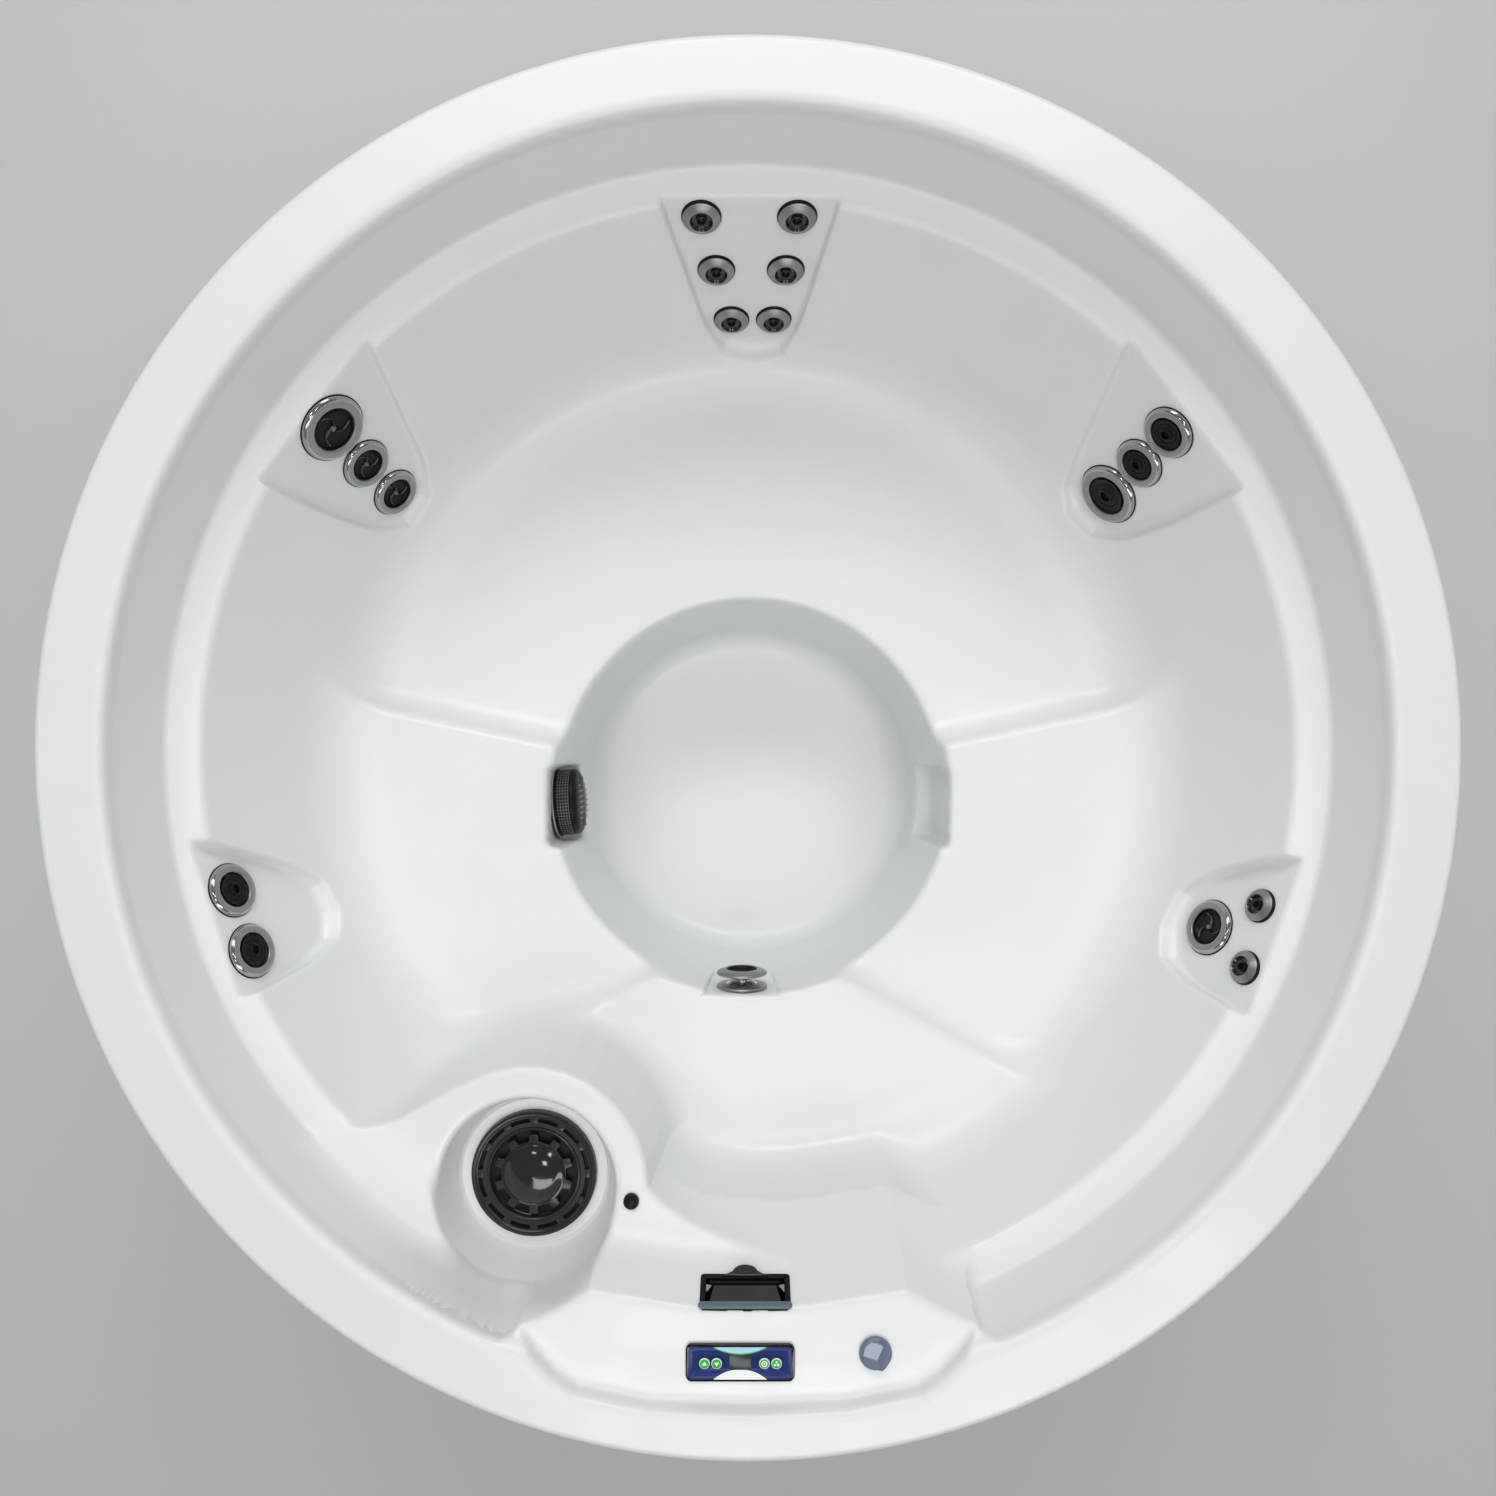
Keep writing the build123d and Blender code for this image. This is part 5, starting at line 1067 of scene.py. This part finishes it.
class HOTTUB_OT_controls(bpy.types.Operator):
    """Makes the control panel, its four keys and the air knob"""
    bl_idname = "hottub.controls"
    bl_label = "Controls"

    def execute(self, context):
        deck = TUB_HEIGHT - DECK_DEPTH
        place = moved(-11, -862, deck)
        parts = [self.bored(plate("bezel", rounded_box(153, 53, 9), 0.3, 4.4, "tinted", place, 1.4), place)]
        parts.append(plate("tray", rounded_box(139, 39, 3), -19, 0.4, "black", place))
        joined("panel_frame_tinted", parts, "tub", ("panel_bezel",))
        film = [self.bored(plate("film", rounded_box(145.5, 45.5, 6), 4.1, 4.8, "navy", place, 0.2), place)]
        film.append(plate("arc_edge", self.cap_of(38.5, 10.4, 22.6, -1), 4.7, 4.95, "leaf", place))
        film.append(plate("arc", self.cap_of(36.2, 8.6, 22.6, -1), 4.8, 5.05, "sky", place))
        film.append(plate("hill", self.cap_of(37.5, 14.2, -22.6, 1), 4.7, 4.95, "white", place))
        film.append(plate("window", rounded_box(30, 21, 1.2, (0, 1.6)), 4.8, 5.2, "window", place, 0.15))
        joined("panel_film", film, "tub", ("panel_overlay",))
        for number, x in enumerate(KEYS, start=1):
            spot = place @ moved(x, 0, 0)
            key = ((0.01, 2.1), (7.6, 2.1), (7.6, 5.0), (7.2, 5.8), (6.2, 6.2), (0.01, 6.3))
            parts = [spun("key", key, "leaf", spot, 40, 50)]
            halo = ((7.55, 5.2), (7.3, 5.95), (6.7, 6.3), (6.5, 6.2))
            parts.append(spun("halo", halo, "white", spot, 40, 60))
            parts += self.sign(number, spot)
            button = "panel_button_%d" % number
            joined("panel_key_%d" % number, parts, button, (button,))
        self.knob(deck)
        return {"FINISHED"}

    def bored(self, sheet, place):
        """Cuts a round hole for each key through a sheet."""
        for x in KEYS:
            cutter = plate("cutter", circle(KEY_HOLE, 40), -2, 9, "black", place @ moved(x, 0, 0))
            cut = sheet.modifiers.new("hole", "BOOLEAN")
            cut.operation = "DIFFERENCE"
            cut.solver = "EXACT"
            cut.object = cutter
            deselect()
            sheet.select_set(True)
            bpy.context.view_layer.objects.active = sheet
            bpy.ops.object.modifier_apply(modifier=cut.name)
            bpy.data.objects.remove(cutter)
        return sheet

    def cap_of(self, half, rise, base, way):
        """A low arch: the part of a circle over a straight base line."""
        radius = (half ** 2 + rise ** 2) / (2 * rise)
        reach = math.asin(half / radius)
        points = [
            (radius * math.sin(a), base + way * (radius * math.cos(a) - radius + rise))
            for a in np.linspace(-reach, reach, 25)
        ]
        return points if way < 0 else points[::-1]

    def sign(self, number, spot):
        """Plain white shapes: a triangle up, a triangle down, a ring and three dots."""
        if number in (1, 2):
            way = 1 if number == 1 else -1
            corners = [(3.8 * math.sin(a), way * 3.8 * math.cos(a)) for a in (0, 2.1, -2.1)]
            return [plate("sign", corners, 6.1, 6.6, "white", spot)]
        if number == 3:
            ring = ((4.2, 6.1), (4.2, 6.6), (2.7, 6.6), (2.7, 6.1))
            dot = plate("dot", circle(1.1, 16), 6.1, 6.6, "white", spot)
            return [spun("sign", ring, "white", spot, 32), dot]
        return [
            plate("sign", circle(1.6, 16), 6.1, 6.6, "white", spot @ moved(x, y, 0))
            for x, y in ((0, 2.4), (2.2, -1.4), (-2.2, -1.4))
        ]

    def knob(self, deck):
        """A round skirt with a three-faced grip, its pointed side to the lower right."""
        place = moved(179, -849, deck)
        skirt = ((23, 2.6), (23, 4.4), (22.2, 6.2), (20.5, 7.4), (17, 8.0), (0.01, 8.2))
        parts = [spun("skirt", skirt, "smoke", place, 64)]
        rings, around = 15, 72
        rows, faces = [(0.0, 0.0, self.grip_height(0, 0))], []
        for k in range(1, rings + 1):
            for j in range(around):
                turn = 2 * math.pi * j / around
                bulge = 3.2 * math.exp(-((((turn + 0.9 + math.pi) % (2 * math.pi)) - math.pi) / 0.45) ** 2)
                reach = (19.4 + bulge) * k / rings
                x, y = reach * math.cos(turn), reach * math.sin(turn)
                height = self.grip_height(x, y) if k < rings else 6.5
                rows.append((x, y, height))
        for j in range(around):
            faces.append((0, 1 + j, 1 + (j + 1) % around))
        for k in range(rings - 1):
            a, b = 1 + k * around, 1 + (k + 1) * around
            faces += [(a + j, b + j, b + (j + 1) % around, a + (j + 1) % around) for j in range(around)]
        mesh = bpy.data.meshes.new("grip")
        mesh.from_pydata([(x * MM, y * MM, z * MM) for x, y, z in rows], [], faces)
        grip = dressed(started("grip", mesh), "smoke", Matrix(), 24)
        # The grip's face turned to the upper left takes the pale finish: a painted reflection on one side of the grip
        mesh.materials.append(finishes()["smoke_painted_reflection"])
        for face in mesh.polygons:
            turn = math.atan2(face.normal.y, face.normal.x)
            face.material_index = int(abs(turn - 2.18) < 0.3 and face.normal.z < 0.95)
        mesh.transform(place)
        parts.append(grip)
        joined("air_knob_wedge", parts, "air_knob", ("air_knob",))

    def grip_height(self, x, y):
        """The lowest of a dome and three sloping faces."""
        dome = 24.0 - 0.021 * (x * x + y * y)
        faces = [19.0 - 0.66 * (x * math.cos(a) + y * math.sin(a) - 1.5) for a in (2.18, 4.0, 6.2)]
        return max(6.5, min([dome] + faces))


class HOTTUB_OT_stage(bpy.types.Operator):
    """Lays the pale floor, sets the soft lamps and the camera over the tub"""
    bl_idname = "hottub.stage"
    bl_label = "Stage"

    def execute(self, context):
        sizes = context.scene.hot_tub
        deselect()
        bpy.ops.mesh.primitive_plane_add(size=24, location=(0, 0, 0))
        floor = context.object
        floor.name = "studio_floor"
        material = bpy.data.materials.new("paper_floor_matte")
        material.use_nodes = True
        shader = material.node_tree.nodes["Principled BSDF"]
        shader.inputs["Base Color"].default_value = tuple(sizes.floor_colour) + (1.0,)
        shader.inputs["Roughness"].default_value = 0.9
        floor.data.materials.append(material)
        world = bpy.data.worlds.new("studio")
        context.scene.world = world
        world.use_nodes = True
        sky = world.node_tree.nodes["Background"]
        sky.inputs["Color"].default_value = (0.97, 0.985, 1.0, 1)
        sky.inputs["Strength"].default_value = 0.24
        key = sizes.key_power / 3
        lamps = (
            ("ceiling", (0.0, -0.9, 4.6), (4.6, 4.6), sizes.ceiling_power, "diffuse"),
            ("key_left", (-1.6, 4.2, 4.3), (1.6, 1.6), key, "both"),
            ("key_middle", (0.0, 4.5, 4.3), (1.6, 1.6), key, "both"),
            ("key_right", (1.6, 4.2, 4.3), (1.6, 1.6), key, "both"),
            ("spot_left", (-0.9, 0.3, 4.0), (0.35, 0.35), key * 0.09, "both"),
            ("spot_right", (0.9, 0.3, 4.0), (0.35, 0.35), key * 0.09, "both"),
            ("spot_front", (0.0, -0.9, 4.0), (0.35, 0.35), key * 0.09, "both"),
            ("pane_left", (-0.15, -2.5, 3.5), (1.5, 0.8), key * 0.42, "glossy"),
            ("pane_right", (1.5, -2.5, 3.5), (1.5, 0.8), key * 0.42, "glossy"),
        )
        for name, place, size, power, seen in lamps:
            light = bpy.data.lights.new(name, "AREA")
            light.shape = "RECTANGLE"
            light.size, light.size_y = size
            light.energy = power
            lamp = bpy.data.objects.new(name, light)
            lamp.location = place
            lamp.visible_glossy = seen != "diffuse"
            lamp.visible_diffuse = seen != "glossy"
            aim = Vector((0, 0, 0.5)) - Vector(place)
            lamp.rotation_euler = aim.to_track_quat("-Z", "Y").to_euler()
            context.scene.collection.objects.link(lamp)
        lens = bpy.data.cameras.new("photo_camera")
        lens.sensor_width = SENSOR_WIDTH
        lens.lens = LENS
        camera = bpy.data.objects.new("photo_camera", lens)
        camera.location = (0, 0, (TUB_HEIGHT + VIEW_HEIGHT) * MM)
        context.scene.collection.objects.link(camera)
        context.scene.camera = camera
        context.scene.view_settings.view_transform = "Standard"
        return {"FINISHED"}


STEPS = (
    HOTTUB_OT_finishes, HOTTUB_OT_shell, HOTTUB_OT_jets, HOTTUB_OT_footwell_fittings, HOTTUB_OT_filter,
    HOTTUB_OT_spout, HOTTUB_OT_controls, HOTTUB_OT_stage,
)


class HOTTUB_PT_panel(bpy.types.Panel):
    """Lists the tub's sizes and its building steps"""
    bl_idname = "HOTTUB_PT_panel"
    bl_label = "Hot tub"
    bl_space_type = "VIEW_3D"
    bl_region_type = "UI"
    bl_category = "Hot tub"

    def draw(self, context):
        sizes = context.scene.hot_tub
        for name in ("ring_spacing", "ring_count", "key_power", "ceiling_power", "floor_colour"):
            self.layout.prop(sizes, name)
        for step in STEPS:
            self.layout.operator(step.bl_idname)


CLASSES = (HotTubSizes,) + STEPS + (HOTTUB_PT_panel,)


def register():
    for cls in CLASSES:
        bpy.utils.register_class(cls)
    bpy.types.Scene.hot_tub = PointerProperty(type=HotTubSizes)


def unregister():
    del bpy.types.Scene.hot_tub
    for cls in reversed(CLASSES):
        bpy.utils.unregister_class(cls)


def main():
    register()
    for step in STEPS:
        group, name = step.bl_idname.split(".")
        getattr(getattr(bpy.ops, group), name)()


if __name__ == "__main__":
    main()
